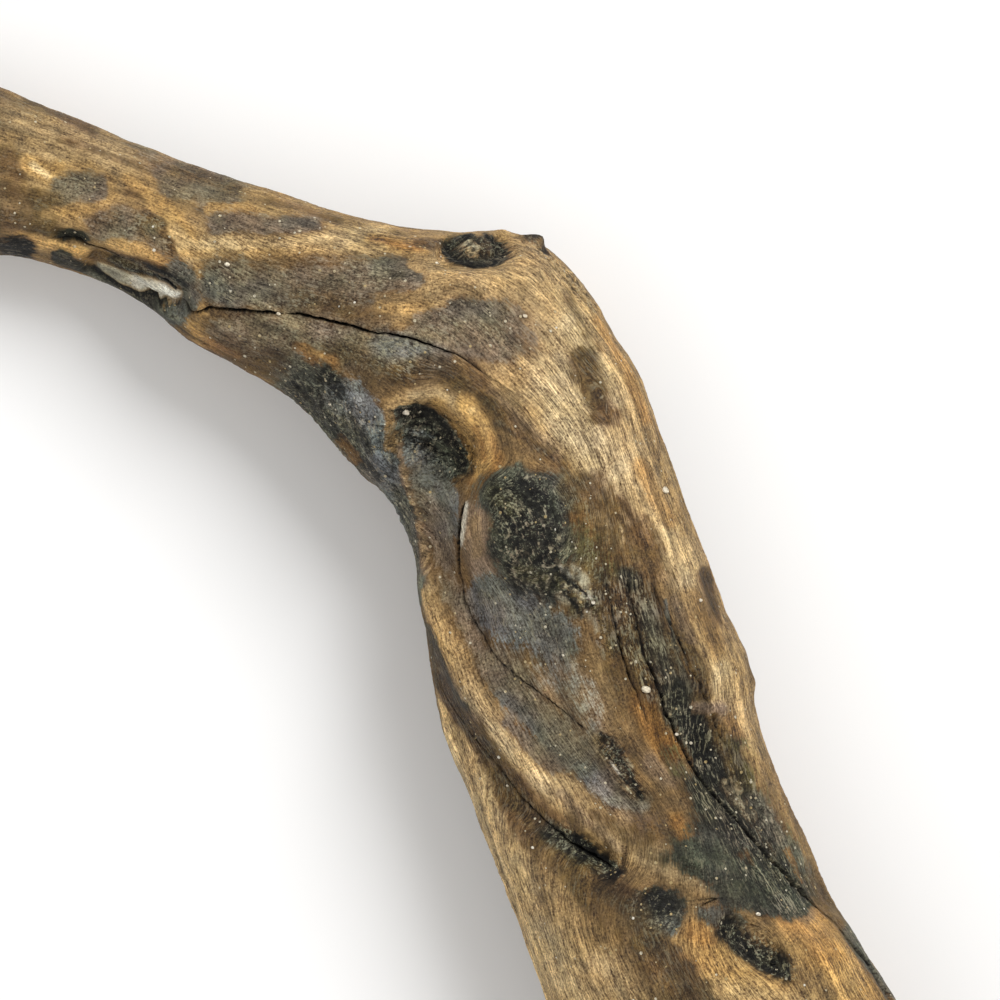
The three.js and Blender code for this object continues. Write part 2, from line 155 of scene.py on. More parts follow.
# Splits that open the skin: plan position, opening and depth at each point. The first two lie
# on one line of the mesh, which follows them from end to end. One without an opening only draws
# the mesh closer together.
SPLITS = table("""
split along the upper limb: -41.5,73.3,0.5,4 -35,71.9,0.7,5 -28.5,71.5,0.8,6 -22,71,0.7,5
    -18.3,70.8,0,1 -15.5,70.6,0.6,5 -4,68.2,0.7,5 1.6,66.4,0.35,4 3,66.6,0.25,3 7.5,65.6,0.55,4
    14,63.6,0.25,3 19.5,61.6,0.14,2 24,58.5,0.1,1
long split to the butt: 56.5,12.5,0.3,2 58.5,4,0.35,3 60.5,-5,0.4,3 65,-17,0.55,4
    69.4,-26,0.55,4 75.4,-34.8,0.7,5 81.5,-41.5,0.8,6 87.8,-48.6,1.2,8 93.5,-54.8,2.2,10
    97,-58.5,0.9,8 100.8,-61.9,0.7,7 104.5,-66,1.2,9 109.5,-72,1.6,10 113.6,-78.5,1.6,10
    118.5,-88,1.4,9 123,-97.5,0.9,6 126,-106,0.4,3
foot of the eye slot's pale face: -63.5,82,0,0 -58.5,78,0,0 -53,74.6,0,0 -47.5,72.8,0,0
    -43.5,71.9,0,0
crack above the eye slot: -69,87,0.2,1 -63,86.8,0.45,2 -57,84.6,0.4,2 -50,80.9,0.3,2
    -44,77.9,0.35,2 -40.5,75.8,0.15,1
split beside the run-out: 20.9,29.7,0.5,2 19.9,26,1,4 19.3,21,1,4 19.7,14,0.8,4 20.8,8.5,0.6,3
    22.6,4,0.35,2 26,-2,0.2,1 34,-10,0.15,1 48,-21,0.1,1
split under the roll: 14.5,-8,0.1,1 19.5,-17.5,0.2,1 27,-27,0.25,1.5 33.5,-35.5,0.35,2
    41,-42.5,0.3,2 48,-47.5,0.8,3 53,-50.5,0.2,1
split at the band's right side: 62,12,0.1,1 66.5,2,0.3,2 71,-8,0.35,2 75,-17,0.3,2 78.5,-24,0.1,1
split left of the band: 52.5,9,0.1,1 54.5,0,0.35,2 57,-9,0.3,2 61,-19,0.1,1
crack by the long pit: 68.5,-58.5,0.15,1 71.5,-59.2,0.4,1.5 74.5,-57.5,0.3,1.5 77,-57,0.15,1
""")

# Radial checks in the torn butt: direction round the face in degrees, opening and depth.
BUTT_CHECKS = [(40.0, 2.2, 5.0), (155.0, 1.8, 4.5), (262.0, 1.6, 4.0)]

# Bumps and notches that the outline shows: radius, height, and a point on the limb's side.
EDGE_FORMS = table("""
bump: 2.3 2.6 36,86.6,29
bump: 1.4 0.8 34,87.4,31
bump: 1.6 0.7 28.5,88.6,30
notch: 1.3 -0.6 41.5,82.3,30
bump: 1.4 0.7 44.5,79.2,30
notch: 1.2 -0.6 47.2,76.2,30
bump: 2.5 0.8 83.6,-10.5,31
bump: 1.5 0.4 51,71.5,30
""")

# Mesh steps: rows a fine distance apart where the carving is, and points round the limb that
# stand closer on the upper side and closest at the splits.
FINE_SECTIONS = (3.0, 26.6)
FINE_STEP = 0.66
PLAIN_STEP = 1.5
CAP_ROWS = 16
POINTS_AROUND = 164
UPPER_SIDE_DENSITY = 2.4
SPLIT_DENSITY = 7.0
SPLIT_REACH = 1.0
TRIED_ANGLES = 2881
TRIED_PLACES = 4000

# Knots that the grain flows round: radius, how far the flow is pushed, and plan position.
KNOTS = table("""
hollow: 9.5 1 15.5,42
boss: 10.5 0.9 35,24.5
elbow knot: 5.5 1 23,85
long pit: 5 0.9 84,-68
round dent: 4.5 0.8 64,-59.5
black knot hole: 3 0.8 51,-49.5
brown dent: 3.5 0.7 49,53
spike: 3 0.8 36,85.5
eye slot: 5 0.6 -44,76.5
""")

# Lines in plan that the grain runs along nearby: reach in mm to the left and to the right of the
# line's direction, and path. Then how closely the grain follows them, from 0 to 1, and how far in
# mm it may be moved.
FLOWS = table("""
callus roll: 13 15 12.5,13 15.5,-3 23,-15.5 35,-28 49,-38.5 64,-46 80,-52
hollow's rim: 5 5 7,54 16,54.5 24,49 29,39 31,29
""")
FLOW_ALIGNMENT = 0.75
FLOW_SLIP = 15.0

# Strokes are placed on a plan grid of 0.22 mm squares, whose first corner is the view's upper
# left. GRID_LEFT and GRID_TOP are the frame's origin on it.
GRID = 0.22
GRID_LEFT, GRID_TOP = 370, 636
VIEW_SIZE = 1000

# How far in mm the strokes' edges feather along the limb and wander, with the size and start of
# each wandering noise, and the half width from which a stroke wanders fully.
FEATHER = 3.2
WANDERS = [(2.6, 10.0, 71.0), (1.6, 3.6, 13.0)]
LOOSE_FROM = 7.0
LEAST_LOOSE = 0.03
STAIN_SPREAD = 0.6
FINISH_SPREAD = 0.5

# The strokes' plan is rolled out over the sides from this sine of the angle round the limb down.
ROLL_OUT_SINE = 0.08

# Colours as seen in daylight, 0 to 255. The weathered ones lie over the wood in a layer that is
# worn through along the fibres.
WOOD_TONES = {
    "cream": (216, 192, 150), "blond": (198, 170, 124), "straw": (180, 151, 107),
    "tan": (156, 128, 86), "sand": (172, 147, 108), "gold": (190, 152, 94),
    "amber": (168, 124, 70), "ochre": (130, 93, 46), "brown": (116, 92, 59),
    "rose": (140, 119, 99), "bone": (202, 198, 186), "dust": (166, 160, 138),
}
WEATHERED_TONES = {
    "grey": (115, 102, 82), "ash": (131, 126, 114), "slate": (108, 110, 107),
    "dusk": (87, 87, 77), "moss": (100, 105, 90), "umber": (97, 76, 45), "bark": (73, 57, 36),
    "olive": (86, 79, 48), "steel": (118, 127, 128), "soot": (54, 57, 45),
    "char": (46, 46, 37), "black": (17, 17, 14),
}
DETAIL_TONES = {
    "stripe": (120, 90, 64), "fleck": (186, 178, 148), "pit": (30, 28, 22),
    # The near-black tone for the crevices is partly painted shade, and the crumb tone partly
    # painted highlight.
    "crevice": (12, 12, 10), "crumb": (164, 165, 138), "hair crack": (14, 13, 11),
    "fine sand": (214, 205, 180), "golden sand": (186, 162, 112),
    "coarse sand": (232, 226, 210), "sand grain": (214, 206, 190),
    "dark ring": (88, 70, 48), "light ring": (142, 119, 86), "end stain": (64, 58, 46),
    # Both split tones here are painted shade: a darker rim along the splits and near black inside
    # them.
    "split rim shade": (110, 98, 84), "split": (12, 10, 8),
}
TONES = {**WOOD_TONES, **WEATHERED_TONES, **DETAIL_TONES}

# Factors that make patches of the wood warmer or cooler, and redder or greener.
COOL, WARM = (0.98, 1.0, 1.04, 1.0), (1.03, 1.0, 0.94, 1.0)
REDDER, GREENER = (1.05, 0.96, 1.02, 1.0), (0.98, 1.0, 0.94, 1.0)

# Streaks go from the darkest to the lightest factor over this range of light.
LIGHT_RANGE = (0.15, 1.85)
DARKEST = (0.19, 0.145, 0.11, 1.0)
LIGHTEST = (1.83, 1.86, 1.80, 1.0)

# The material's noises along the grain: length share, scale, detail and roughness.
GRAIN_NOISES = {
    "fibres": (0.11, 2.1, 3.0, 0.65), "streaks": (0.07, 0.45, 2.0, 0.5),
    "dashes": (0.14, 3.3, 1.0, 0.5), "contours": (0.06, 0.9, 2.0, 0.55),
    "long_chips": (0.17, 2.3, 2.0, 0.65), "long_crumbs": (0.2, 1.8, 2.0, 0.6),
    "warp": (0.3, 0.16, 3.0, 0.55),
}
# Its noises that run alike in every direction: scale, detail and roughness.
PLAIN_NOISES = {
    "clouds": (420.0, 4.0, 0.62), "grit": (1900.0, 2.0, 0.65), "groups": (230.0, 3.0, 0.6),
    "round_chips": (1150.0, 3.0, 0.7), "round_crumbs": (1100.0, 2.0, 0.6),
    "warmth": (130.0, 3.0, 0.6), "tint": (75.0, 3.0, 0.6), "end_stain": (95.0, 4.0, 0.6),
}
BUMP_DEPTH = 0.5 * MM

# Where the sides and the underside get each tone: noise, from and to which value, and strength.
UNSEEN_STAINS = [
    ("straw", "wave", 0.0, 0.3, 0.9), ("blond", "wave", 0.15, 0.45, 0.8),
    ("brown", "trough", 0.0, 0.35, 0.9), ("amber", "warmth", 0.05, 0.3, 0.45),
    ("umber", "coolness", 0.1, 0.35, 0.6), ("grey", "spots", 0.02, 0.2, 0.85),
    ("dusk", "spots", 0.2, 0.38, 0.8), ("bark", "gaps", 0.12, 0.3, 0.6),
    ("char", "burns", 0.25, 0.4, 0.9),
]

# Stains: tone, half width in grid squares, strength, and path on the plan grid. Later strokes lie
# over earlier ones.
# Callus roll, its crest partly painted highlight, the dark groove outside it, partly painted shade,
# and the blond band along the edge
# Eye slot: its pale face, black painted shade in the gap under it, the dark lip below and the
# grey-green wood round its end
# Hollow: wall darkened with painted shade over dark wood, grey-green floor and golden rim
# Knot on the elbow: dark socket round a tan plug, partly painted shade in the deep hole, and the
# pale lip under it, partly painted highlight
# Painted shade: the black line along the foot of the pale face stands for the shade in the deep gap
# under it.
# Painted shade: the char socket and the black lines round the plug stand for the shade in the deep
# hole.
# Partly painted highlight: the straw and blond on the lip under the knot brighten its lit edge over
# its own pale wood.
# Partly painted highlight: the straw, blond and cream along the roll's crest brighten its own pale
# wood.
# Partly painted shade: the char and black strokes along the upper and right wall darken it as a
# wall in shade.
# Partly painted shade: the char, umber, bark and black strokes down the groove outside the roll
# darken it as the shade under the roll's lower-left side.
# Partly painted shade: the dark strip along the limb's inner, left edge goes on down here.
# The black along the thin end's lower-left edge is partly charred wood and partly painted shade on
# the side turned from the light.
# The dark strokes from here to the end of this group lie along the limb's inner, left edge: partly
# its own grey-blue weathering, partly painted shade on the side turned from the light.
# The pale callus ridge, partly painted highlight, and the dark valley on its outer side, partly
# painted shade
STAINS = table("""
# Ground colours
tan: 90 1 -60,160 100,180 220,230 330,280
brown: 80 1 240,330 330,350 420,380
straw: 80 1 480,260 580,340 640,460 700,600 740,700
brown: 90 1 470,480 520,600 600,720 700,860
tan: 90 0.9 500,860 620,960 740,1000 840,1010
# Thin end: brown-grey band, blond spot and round grey patches
grey: 20 0.5 -40,95 60,122 140,150 220,182
sand: 12 0.6 -10,108 50,130 120,150
sand: 14 0.6 30,146 80,152 130,168
umber: 4 0.55 26,98 50,110 96,132
umber: 4 0.5 60,140 96,150 140,168
umber: 15 0.75 -30,160 2,158 18,168
umber: 10 0.6 0,190 30,200 44,214
gold: 9 0.95 30,164 46,174 58,172
cream: 4 0.8 33,165 48,176
gold: 6 0.45 60,166 90,168 112,180
grey: 14 0.95 66,190 84,186 98,188
umber: 9 0.6 38,198 56,200
gold: 5 0.6 112,180 114,196 104,206 80,212 44,214
grey: 15 0.95 102,226 118,220 132,226
umber: 8 0.45 96,222 112,216
grey: 12 0.95 146,222 158,234 168,252
umber: 12 0.95 148,222 161,234 170,250
dusk: 5 0.5 150,228 162,246
umber: 6 0.6 132,192 142,196 150,200
gold: 7 0.6 112,244 136,252 160,262 180,264
gold: 6 0.7 128,180 150,196 160,206
grey: 21 0.85 176,182 204,188 232,196
umber: 6 0.5 170,170 200,176 236,190
gold: 9 0.9 158,204 176,220 188,238
blond: 8 0.85 176,232 186,246 192,262
gold: 5 0.7 210,210 240,208 272,206
tan: 9 0.7 250,198 290,206 336,216
umber: 4 0.5 262,200 300,208 340,222
grey: 12 0.9 218,226 240,222 262,224
grey: 9 0.9 274,226 296,226 314,224
dusk: 5 0.5 286,224 312,224
blond: 10 0.95 184,248 240,248 300,246 344,240 386,232
gold: 5 0.6 184,254 240,256 320,250
umber: 12 0.7 -30,212 20,222 52,228
gold: 6 0.85 22,238 44,242 66,250 92,256
black: 12 1 -40,246 0,250 24,250
char: 6 0.9 62,236 74,234 84,238
umber: 9 0.85 98,256 130,264 166,276
char: 5 0.4 112,258 140,266 172,280
# Eye slot: its pale face, the dark lip below and the grey-green wood round its end
char: 7 0.95 58,256 86,272 112,290 150,310
dusk: 10 0.95 176,268 188,280 190,300 180,316
dust: 4 1 99,266 112,271 122,276
dust: 6.5 1 116,274 130,279 142,283
bone: 7.5 1 138,282 148,285 160,288
bone: 5 1 158,288 166,290 176,293
dusk: 5 1 84,276 112,296 142,311 166,322
dusk: 7 1 128,303 150,311 172,320
char: 4 0.8 100,282 126,300 150,310
black: 3.6 1 94,269 106,279 126,291 150,299 176,304
black: 1.5 0.9 126,267 154,274 170,281 176,288
black: 1.8 0.9 150,267 162,272 177,279 188,287
slate: 5 0.7 170,306 180,312 190,320
gold: 5 0.75 199,268 203,290 203,312
gold: 8 0.7 192,322 198,334 208,346
# Upper limb, middle: grey zone over and under the split, with gold between
grey: 25 0.97 222,284 260,286 310,286 360,280 404,276
dusk: 10 0.6 216,284 226,296
slate: 12 0.45 214,290 232,296 262,290
dusk: 11 0.6 380,268 410,270 438,278
umber: 12 0.5 300,300 350,310 380,322
brown: 10 0.45 262,262 300,262 340,262
gold: 7 1 372,241 396,245 424,251
amber: 4 0.9 374,240 396,243 420,248
ochre: 2 0.6 378,239 400,243
blond: 7 0.7 300,246 350,246 380,250
grey: 25 1 440,322 480,316 524,314 534,322
dusk: 13 0.55 462,310 510,304 536,316
grey: 17 0.9 516,300 540,322 542,346
grey: 15 0.9 420,336 470,344 506,350
tan: 11 0.7 384,302 410,300 440,300
gold: 6 0.45 380,308 400,310 430,308
grey: 22 0.85 228,338 280,334 330,342 384,350
umber: 16 0.4 218,350 262,364 300,372
umber: 10 0.5 330,352 380,362 420,366
amber: 6 0.6 210,342 222,350 236,356
amber: 8 0.7 302,350 316,358 332,362
gold: 4 0.5 304,348 320,354
slate: 14 0.75 384,346 408,352 436,360
umber: 13 0.7 398,376 436,368 466,386 492,418
umber: 8 0.55 472,368 498,406 536,446 584,482
straw: 13 0.85 502,382 522,406 546,430
rose: 5 0.4 490,392 520,422 556,450
bark: 2 0.7 470,400 492,422 524,440 558,462 592,500
bark: 1.6 0.6 486,398 520,424 552,446 584,478 616,522
bark: 1.5 0.5 506,392 540,426 580,462 620,516
bark: 1.5 0.5 440,372 466,382 490,406 510,430
dusk: 26 0.95 300,386 330,404 356,432 372,458
slate: 20 0.8 346,396 368,416 380,440 386,466
char: 9 0.5 296,392 318,410 340,434 362,462
ash: 13 0.7 346,396 366,424 382,462 390,490
char: 9 0.85 330,376 340,384 338,396
dusk: 17 0.97 388,470 400,510 408,550
slate: 14 0.85 382,440 390,480 400,520
steel: 14 0.75 344,394 366,416 380,440 386,466
steel: 8 0.6 384,470 394,508 404,540
char: 3 0.7 350,414 362,432 372,452
ochre: 5 0.7 340,438 350,449 357,460
black: 3 0.7 362,458 370,468 380,480
# Knot on the elbow: dark socket round a tan plug, and the pale lip under it
tan: 12 0.7 400,228 450,232 520,236
umber: 5 0.85 418,243 434,243 448,246
straw: 11 1 420,262 450,272 484,276 520,272 540,258
blond: 6 0.8 436,266 466,275 500,276 522,270
straw: 14 0.85 440,286 490,288 540,290
char: 13 1 458,249 476,250 494,251
bark: 9 0.7 470,250 484,250
dust: 6 0.95 466,245 473,250
tan: 3 0.6 468,250 476,253
black: 3.6 1 446,252 456,260 474,265 492,264 505,258
black: 2.5 0.9 448,248 456,240 470,236
black: 2 0.9 484,236 494,243 503,252 512,257
bark: 7 0.9 526,236 540,238 547,248
# Hollow: black wall, grey-green floor and golden rim
tan: 9 0.9 392,446 391,424 396,406
straw: 8 0.9 394,412 404,399 430,393 454,402 468,420
cream: 3.5 0.5 410,397 436,394 454,401
straw: 6 0.6 446,402 464,416 476,438
gold: 11 1 466,404 482,426 487,450 482,474
amber: 8 0.8 488,440 496,458 490,476
cream: 5 0.5 472,412 482,436 482,460
ochre: 8 0.6 488,474 492,486 482,500
gold: 9 1 472,420 482,442 482,464
amber: 3 0.6 474,428 482,446 484,460
moss: 20 1 414,430 434,440 446,456
moss: 10 1 404,416 430,420 452,440 462,462
slate: 14 0.8 412,448 428,462 438,474
steel: 6 0.5 412,440 424,458 436,478
char: 5 0.7 402,414 422,411 440,422 454,446 462,468
black: 3 0.9 398,411 414,407 433,412 450,431 461,454 464,470
gold: 5 0.9 436,403 454,418 466,438 472,458
black: 1.8 0.95 402,417 414,415 427,418
black: 1.6 0.95 412,425 426,425 438,428 448,435
black: 1.6 0.95 405,437 418,437 428,442 437,451
black: 1.6 0.95 430,433 444,438 456,443 467,454
black: 1.3 0.9 412,446 422,447 431,451
black: 1.3 0.9 440,452 450,455 458,462
steel: 1.4 0.7 408,430 422,432 434,438
grey: 16 0.9 424,480 432,510 440,548
slate: 12 0.8 424,476 440,490 450,506 448,530
grey: 14 0.6 436,520 440,550 446,590
brown: 7 0.6 420,540 434,570 444,610
rose: 4 0.9 400,448 404,474 412,500 420,530 424,566 428,600
sand: 1.8 0.8 402,466 411,496 420,530 424,566 428,600
dusk: 6 0.95 398,490 408,520 414,560 419,600
# Bark boss, black and mossy, with the pinkish plate beside it
amber: 8 0.6 476,484 480,500
rose: 14 0.95 474,514 478,540 482,566
tan: 6 0.6 474,520 478,552
bone: 2.4 1 466,504 464,518 462,534 461,545
dusk: 18 0.95 490,492 512,484 544,490 562,512 568,540
soot: 34 1 524,506 538,528 534,556
char: 24 0.8 520,500 534,528 530,556
soot: 17 0.9 504,546 528,572 548,584
umber: 9 0.6 566,488 584,520 586,556
olive: 10 0.5 516,572 540,582 560,578
char: 14 0.9 498,500 506,520
black: 5 0.7 508,488 530,486 548,500
black: 4 0.7 516,512 536,526 548,544 540,562
black: 3 0.7 500,508 514,528 520,552 508,566
dusk: 5 0.6 560,508 570,526 572,544
black: 1.4 0.9 556,498 566,511 577,524
black: 1.3 0.9 506,518 520,532 534,545
olive: 10 0.4 492,492 510,506
ochre: 20 0.75 586,524 606,548 624,570
olive: 16 0.55 584,540 604,566 624,592
umber: 15 0.75 592,500 624,546 648,590
umber: 22 0.85 588,588 610,612 620,650
olive: 12 0.7 580,600 602,606 618,640
dust: 4 0.9 556,562 564,572 572,578
dust: 3.5 0.9 562,584 576,588 584,598
dust: 3 0.9 578,578 588,590 596,604
bone: 2 0.8 560,566 568,576
bone: 2 0.8 582,590 590,600
black: 2 0.9 550,560 560,574 574,584 586,594
black: 2 0.9 594,596 606,606 618,616
dust: 2.5 0.8 600,600 610,604
dust: 2.5 0.8 604,616 614,622
dust: 4 0.85 558,596 566,600 574,600
dust: 3 0.85 572,566 582,574 588,582
dust: 3 0.8 586,610 594,620 598,630
black: 2.4 0.9 564,590 574,604 582,616
black: 2 0.8 606,584 612,594 624,604
# Blond face outside the elbow
blond: 40 0.85 560,310 592,380 622,450 650,520
cream: 24 0.8 548,376 572,420 604,468 636,520
cream: 8 0.6 566,322 590,356 616,404
blond: 20 0.9 640,500 676,570 704,640 726,700
cream: 10 0.55 668,540 700,620 722,684
tan: 9 0.65 578,286 606,326 640,390 664,460 690,530
amber: 5 0.5 596,320 624,366 646,420
amber: 8 0.55 640,466 652,492 668,520
umber: 5 0.5 566,292 584,330 600,352
umber: 15 0.8 582,364 592,388 604,412
bark: 8 0.4 590,384 602,408
umber: 14 0.6 594,480 620,516 646,560
bark: 1.6 0.6 600,490 632,536 656,584 680,636
bark: 1.5 0.5 616,494 646,546 668,596
brown: 11 0.8 664,592 684,634 700,676
umber: 7 0.7 684,640 698,668 706,694
rose: 6 0.5 676,600 690,640
umber: 7 0.9 704,572 710,594 716,622
brown: 9 0.5 702,590 716,640
bark: 5 0.5 704,580 710,596 714,616
tan: 7 0.6 722,596 738,650 748,690
bark: 2 0.4 654,424 659,438 663,450
bark: 3 0.6 744,640 750,662 754,686
ochre: 10 0.45 688,594 704,624 716,652
umber: 12 0.45 640,526 654,548 668,574
straw: 10 0.8 726,690 738,724 744,744
amber: 6 0.6 730,720 738,740
# Scar basin: slate and brown wood inside the callus roll
slate: 26 1 494,598 520,616 548,630
ash: 14 0.6 496,600 520,620 540,630
dusk: 13 0.75 556,632 562,650
grey: 14 0.8 456,600 470,640 496,690
brown: 8 0.6 448,610 462,648 482,684
slate: 14 1 506,706 545,738 580,768 612,792
dusk: 12 0.6 508,706 545,738 580,768
grey: 17 0.75 500,664 540,704 580,748
rose: 20 0.6 560,680 590,710
sand: 14 0.4 556,672 584,700 600,730
ash: 18 0.5 552,664 576,688 590,712
tan: 9 0.6 596,650 612,690 622,726
umber: 6 0.65 600,640 612,680 624,720
ochre: 13 0.95 640,700 652,724 668,752
amber: 6 0.55 640,706 650,726
rose: 10 0.6 652,762 668,778
olive: 9 0.5 668,750 678,770
grey: 13 0.8 598,742 614,776 636,800
umber: 11 0.6 604,738 620,764 636,792
black: 2 0.95 600,733 610,738 614,746 622,750
black: 2.4 0.95 612,744 618,758 628,768 634,782 641,797
black: 1.8 0.9 603,750 612,760 622,776 636,790
bone: 1.4 0.9 605,744 611,749
bone: 1.6 0.9 606,758 613,766 618,772
dust: 1.6 0.9 624,758 631,768
dust: 1.6 0.9 622,784 630,792
ash: 7 0.7 590,790 612,804 640,806
rose: 9 0.5 622,814 656,822
umber: 14 0.6 640,826 672,826
ochre: 8 0.7 676,820 686,838
amber: 4 0.5 680,826 684,838
# Callus roll, the dark groove outside it and the blond band along the edge
straw: 5 1 427,590 431,616 438,640
straw: 10 1 438,640 454,672 478,702
gold: 4 0.5 432,624 446,656 468,690
blond: 11 1 466,696 496,734 532,772 566,800
cream: 6 0.6 470,702 498,736 532,773 556,792
grey: 8 0.85 506,716 530,744 552,764 570,778
straw: 14 0.95 566,786 600,820 640,848 680,866
sand: 10 0.9 640,850 690,872 730,892 760,902
umber: 9 0.5 596,812 630,838 660,856
rose: 5 0.4 560,792 590,822 620,846
ochre: 3 0.6 446,630 470,668 500,704 536,738
char: 8 0.97 424,630 434,660 448,690 462,712
umber: 13 0.85 466,722 494,766 520,800
umber: 22 0.75 510,794 550,836 590,880
olive: 9 0.5 520,800 550,830 580,856
rose: 8 0.4 478,744 500,776
bark: 6 0.6 500,772 530,812 566,844
char: 9 0.85 548,830 570,844 590,854 612,868
black: 4 0.8 572,838 586,846 600,860 620,872
blond: 12 1 436,706 452,750 474,806 500,870 524,930 544,1000
cream: 6 0.6 446,730 470,796 500,866
blond: 26 0.9 510,880 546,940 586,1010
cream: 10 0.5 540,930 570,986 600,1040
tan: 12 0.6 540,880 580,930 620,990
umber: 17 0.85 592,890 634,930 670,976 692,1030
brown: 22 0.8 620,900 660,950 690,1000
umber: 10 0.6 640,944 668,984 690,1030
sand: 4 0.5 462,770 490,850 520,930
blond: 9 0.9 462,738 486,796 512,848 530,884
blond: 12 0.8 600,958 614,974 624,990
# Lower limb: round black spot, rough pit and orange wood
char: 20 1 656,900 664,906
black: 11 0.7 654,898 664,904
slate: 9 0.6 660,922 672,925
gold: 24 0.9 700,948 740,986 790,1010 840,1050
blond: 16 0.7 716,990 780,1004 830,1030
amber: 10 0.7 692,926 706,934
dusk: 9 0.8 704,910 722,914 740,922
gold: 24 0.8 800,930 830,956 862,996
amber: 18 0.6 790,918 808,926 822,948
rose: 8 0.5 786,908 806,914
ochre: 5 0.6 766,914 790,912
bark: 13 0.75 728,926 748,944 776,964
char: 8 0.9 728,926 740,944 758,956 780,966
# Charred band along the long split, and the wood to its right
umber: 18 0.9 620,600 636,640 650,690
bark: 15 0.95 634,584 650,620 664,664 680,706
char: 8 0.9 626,574 632,584
dusk: 8 0.6 644,606 658,646 672,684
umber: 9 0.8 672,640 690,676 704,696
char: 15 0.97 676,690 692,730 712,770 732,804
black: 12 0.85 690,716 704,750 718,786 736,816
char: 22 0.95 704,790 726,830 756,868 784,888
dusk: 20 0.85 700,850 736,876 776,892
char: 7 0.7 724,898 760,906 800,906
rose: 6.5 1 698,706 710,709 722,710
umber: 9 0.9 714,724 728,748 742,776
olive: 14 0.8 740,750 760,796 788,844
tan: 8 0.6 752,752 776,806 806,862
dusk: 12 0.7 752,800 776,836 800,872
dust: 8 0.7 728,784 738,800 748,814
ochre: 6 0.8 742,854 756,872
amber: 4 0.7 786,850 800,880
umber: 8 0.6 810,880 830,910 850,936
dusk: 1.6 0.8 664,600 676,650 690,690
dusk: 8 0.9 850,930 868,958 892,992
# The pale callus ridge and the dark valley on its outer side
bark: 7 0.85 424,630 434,660 446,690 464,722 486,752
straw: 7 0.8 434,604 450,640 472,680 500,714
# The charred band's lower end, up to the long split
soot: 22 0.8 688,850 734,876 790,898
# Dark wood round the two lowest pits
bark: 13 0.75 608,884 632,904 658,942 690,972 704,1002
ash: 4 0.6 856,930 874,960
""")

# What the fine finish does: how much of each kind lies where no stroke is, how much on the sides
# and the underside, and then strokes like the stains', with a half width, amount and path.
FINISH_AT_REST = {"fibre": 0.5, "mottle": 0.35, "rough": 0.04, "crazed": 0.0}
UNSEEN_FINISH = {"fibre": 0.75, "mottle": 0.5, "rough": 0.12, "crazed": 0.0}
FINISHES = table("""
fibre: 60 1 540,290 600,400 660,520 720,660 740,730
fibre: 22 0.9 430,264 500,280 560,300
fibre: 16 1 430,610 470,700 540,770 640,850
fibre: 50 1 460,740 520,880 600,980
fibre: 50 1 690,960 780,1000 860,980
fibre: 20 0.9 180,255 300,245 400,240
fibre: 26 0.55 216,284 320,284 420,278
fibre: 26 0.55 452,318 530,318
fibre: 18 0.45 84,186 98,188
fibre: 18 0.45 110,224 158,236
fibre: 12 0.9 398,376 440,366 480,380 540,430 600,486
fibre: 45 0.6 530,505 540,560
fibre: 26 0.15 420,428 440,460
fibre: 36 0.7 500,620 560,720 620,790
fibre: 24 1 626,590 650,680 700,780 780,880
fibre: 20 0.1 656,900 664,912
fibre: 14 0 94,266 128,284 160,294 180,302
mottle: 26 1 216,284 320,284 420,278
mottle: 30 0.9 228,338 330,348 400,356
mottle: 28 1 452,318 530,318
mottle: 18 0.8 84,186 98,188
mottle: 18 0.8 110,224 158,236
mottle: 42 1 530,505 540,565
mottle: 24 0.9 590,510 620,560 640,600
mottle: 26 0.9 412,426 446,456
mottle: 15 0.9 584,366 604,412
mottle: 36 1 300,395 380,470
mottle: 22 1 388,470 404,520 412,560
mottle: 22 1 620,590 660,690 720,800 790,890
mottle: 20 1 740,780 800,870
mottle: 20 0.6 656,900 664,912
mottle: 14 1 730,930 780,962
mottle: 26 0.9 590,560 620,640
mottle: 30 0.7 510,610 560,650
mottle: 30 0 560,390 620,470 700,620
mottle: 16 0.1 470,700 560,780
mottle: 10 0 99,266 138,282 176,293
rough: 34 0.65 524,504 538,530 536,560
rough: 18 0.65 500,500 510,550 548,582
rough: 10 0.8 560,580 590,602
rough: 16 0.4 626,590 650,660 690,730 740,810
rough: 20 0.45 740,830 780,880
rough: 12 0.6 730,780 760,820
rough: 22 0.5 410,424 436,440 454,458
rough: 20 0.3 590,530 620,580
rough: 16 0.35 392,460 404,520
rough: 13 0.9 728,926 780,966
rough: 8 0.8 602,738 636,790
rough: 12 0.9 556,834 584,850 616,870
rough: 22 0.35 300,390 360,440
rough: 10 0.7 328,376 340,392
rough: 12 0.7 460,248 492,250
rough: 8 0.6 528,236 560,264 596,304
rough: 18 0.35 656,900 666,912
rough: 10 0.5 110,262 176,280
rough: 8 0 99,266 138,282 176,293
crazed: 26 1 410,424 436,436 452,456
crazed: 24 0.7 300,392 340,414 372,450
crazed: 26 0.6 516,500 540,540
crazed: 14 0.6 396,480 412,560
crazed: 16 0.5 690,720 730,810 780,880
crazed: 14 0.5 654,896 668,914
crazed: 12 0.6 604,738 636,792
""")

# Larger grains of sand stuck to the wood: radius in mm, height over radius, and place on the grid.
PEBBLES = table("""
grain: 0.95 0.6 405,412
grain: 1.1 0.5 664,490
grain: 1.05 0.6 645,688
grain: 0.6 0.6 228,265
grain: 0.45 0.7 499,756
grain: 0.4 0.7 508,785
grain: 0.4 0.7 533,847
grain: 0.5 0.6 279,314
grain: 0.55 0.5 525,317
grain: 0.5 0.6 700,601
grain: 0.5 0.6 676,734
grain: 0.4 0.6 437,264
grain: 0.35 0.6 620,361
grain: 0.35 0.6 563,655
grain: 0.45 0.6 690,742
grain: 0.5 0.5 330,404
grain: 0.6 0.5 757,912
grain: 0.5 0.6 593,603
grain: 0.4 0.5 341,404
""")

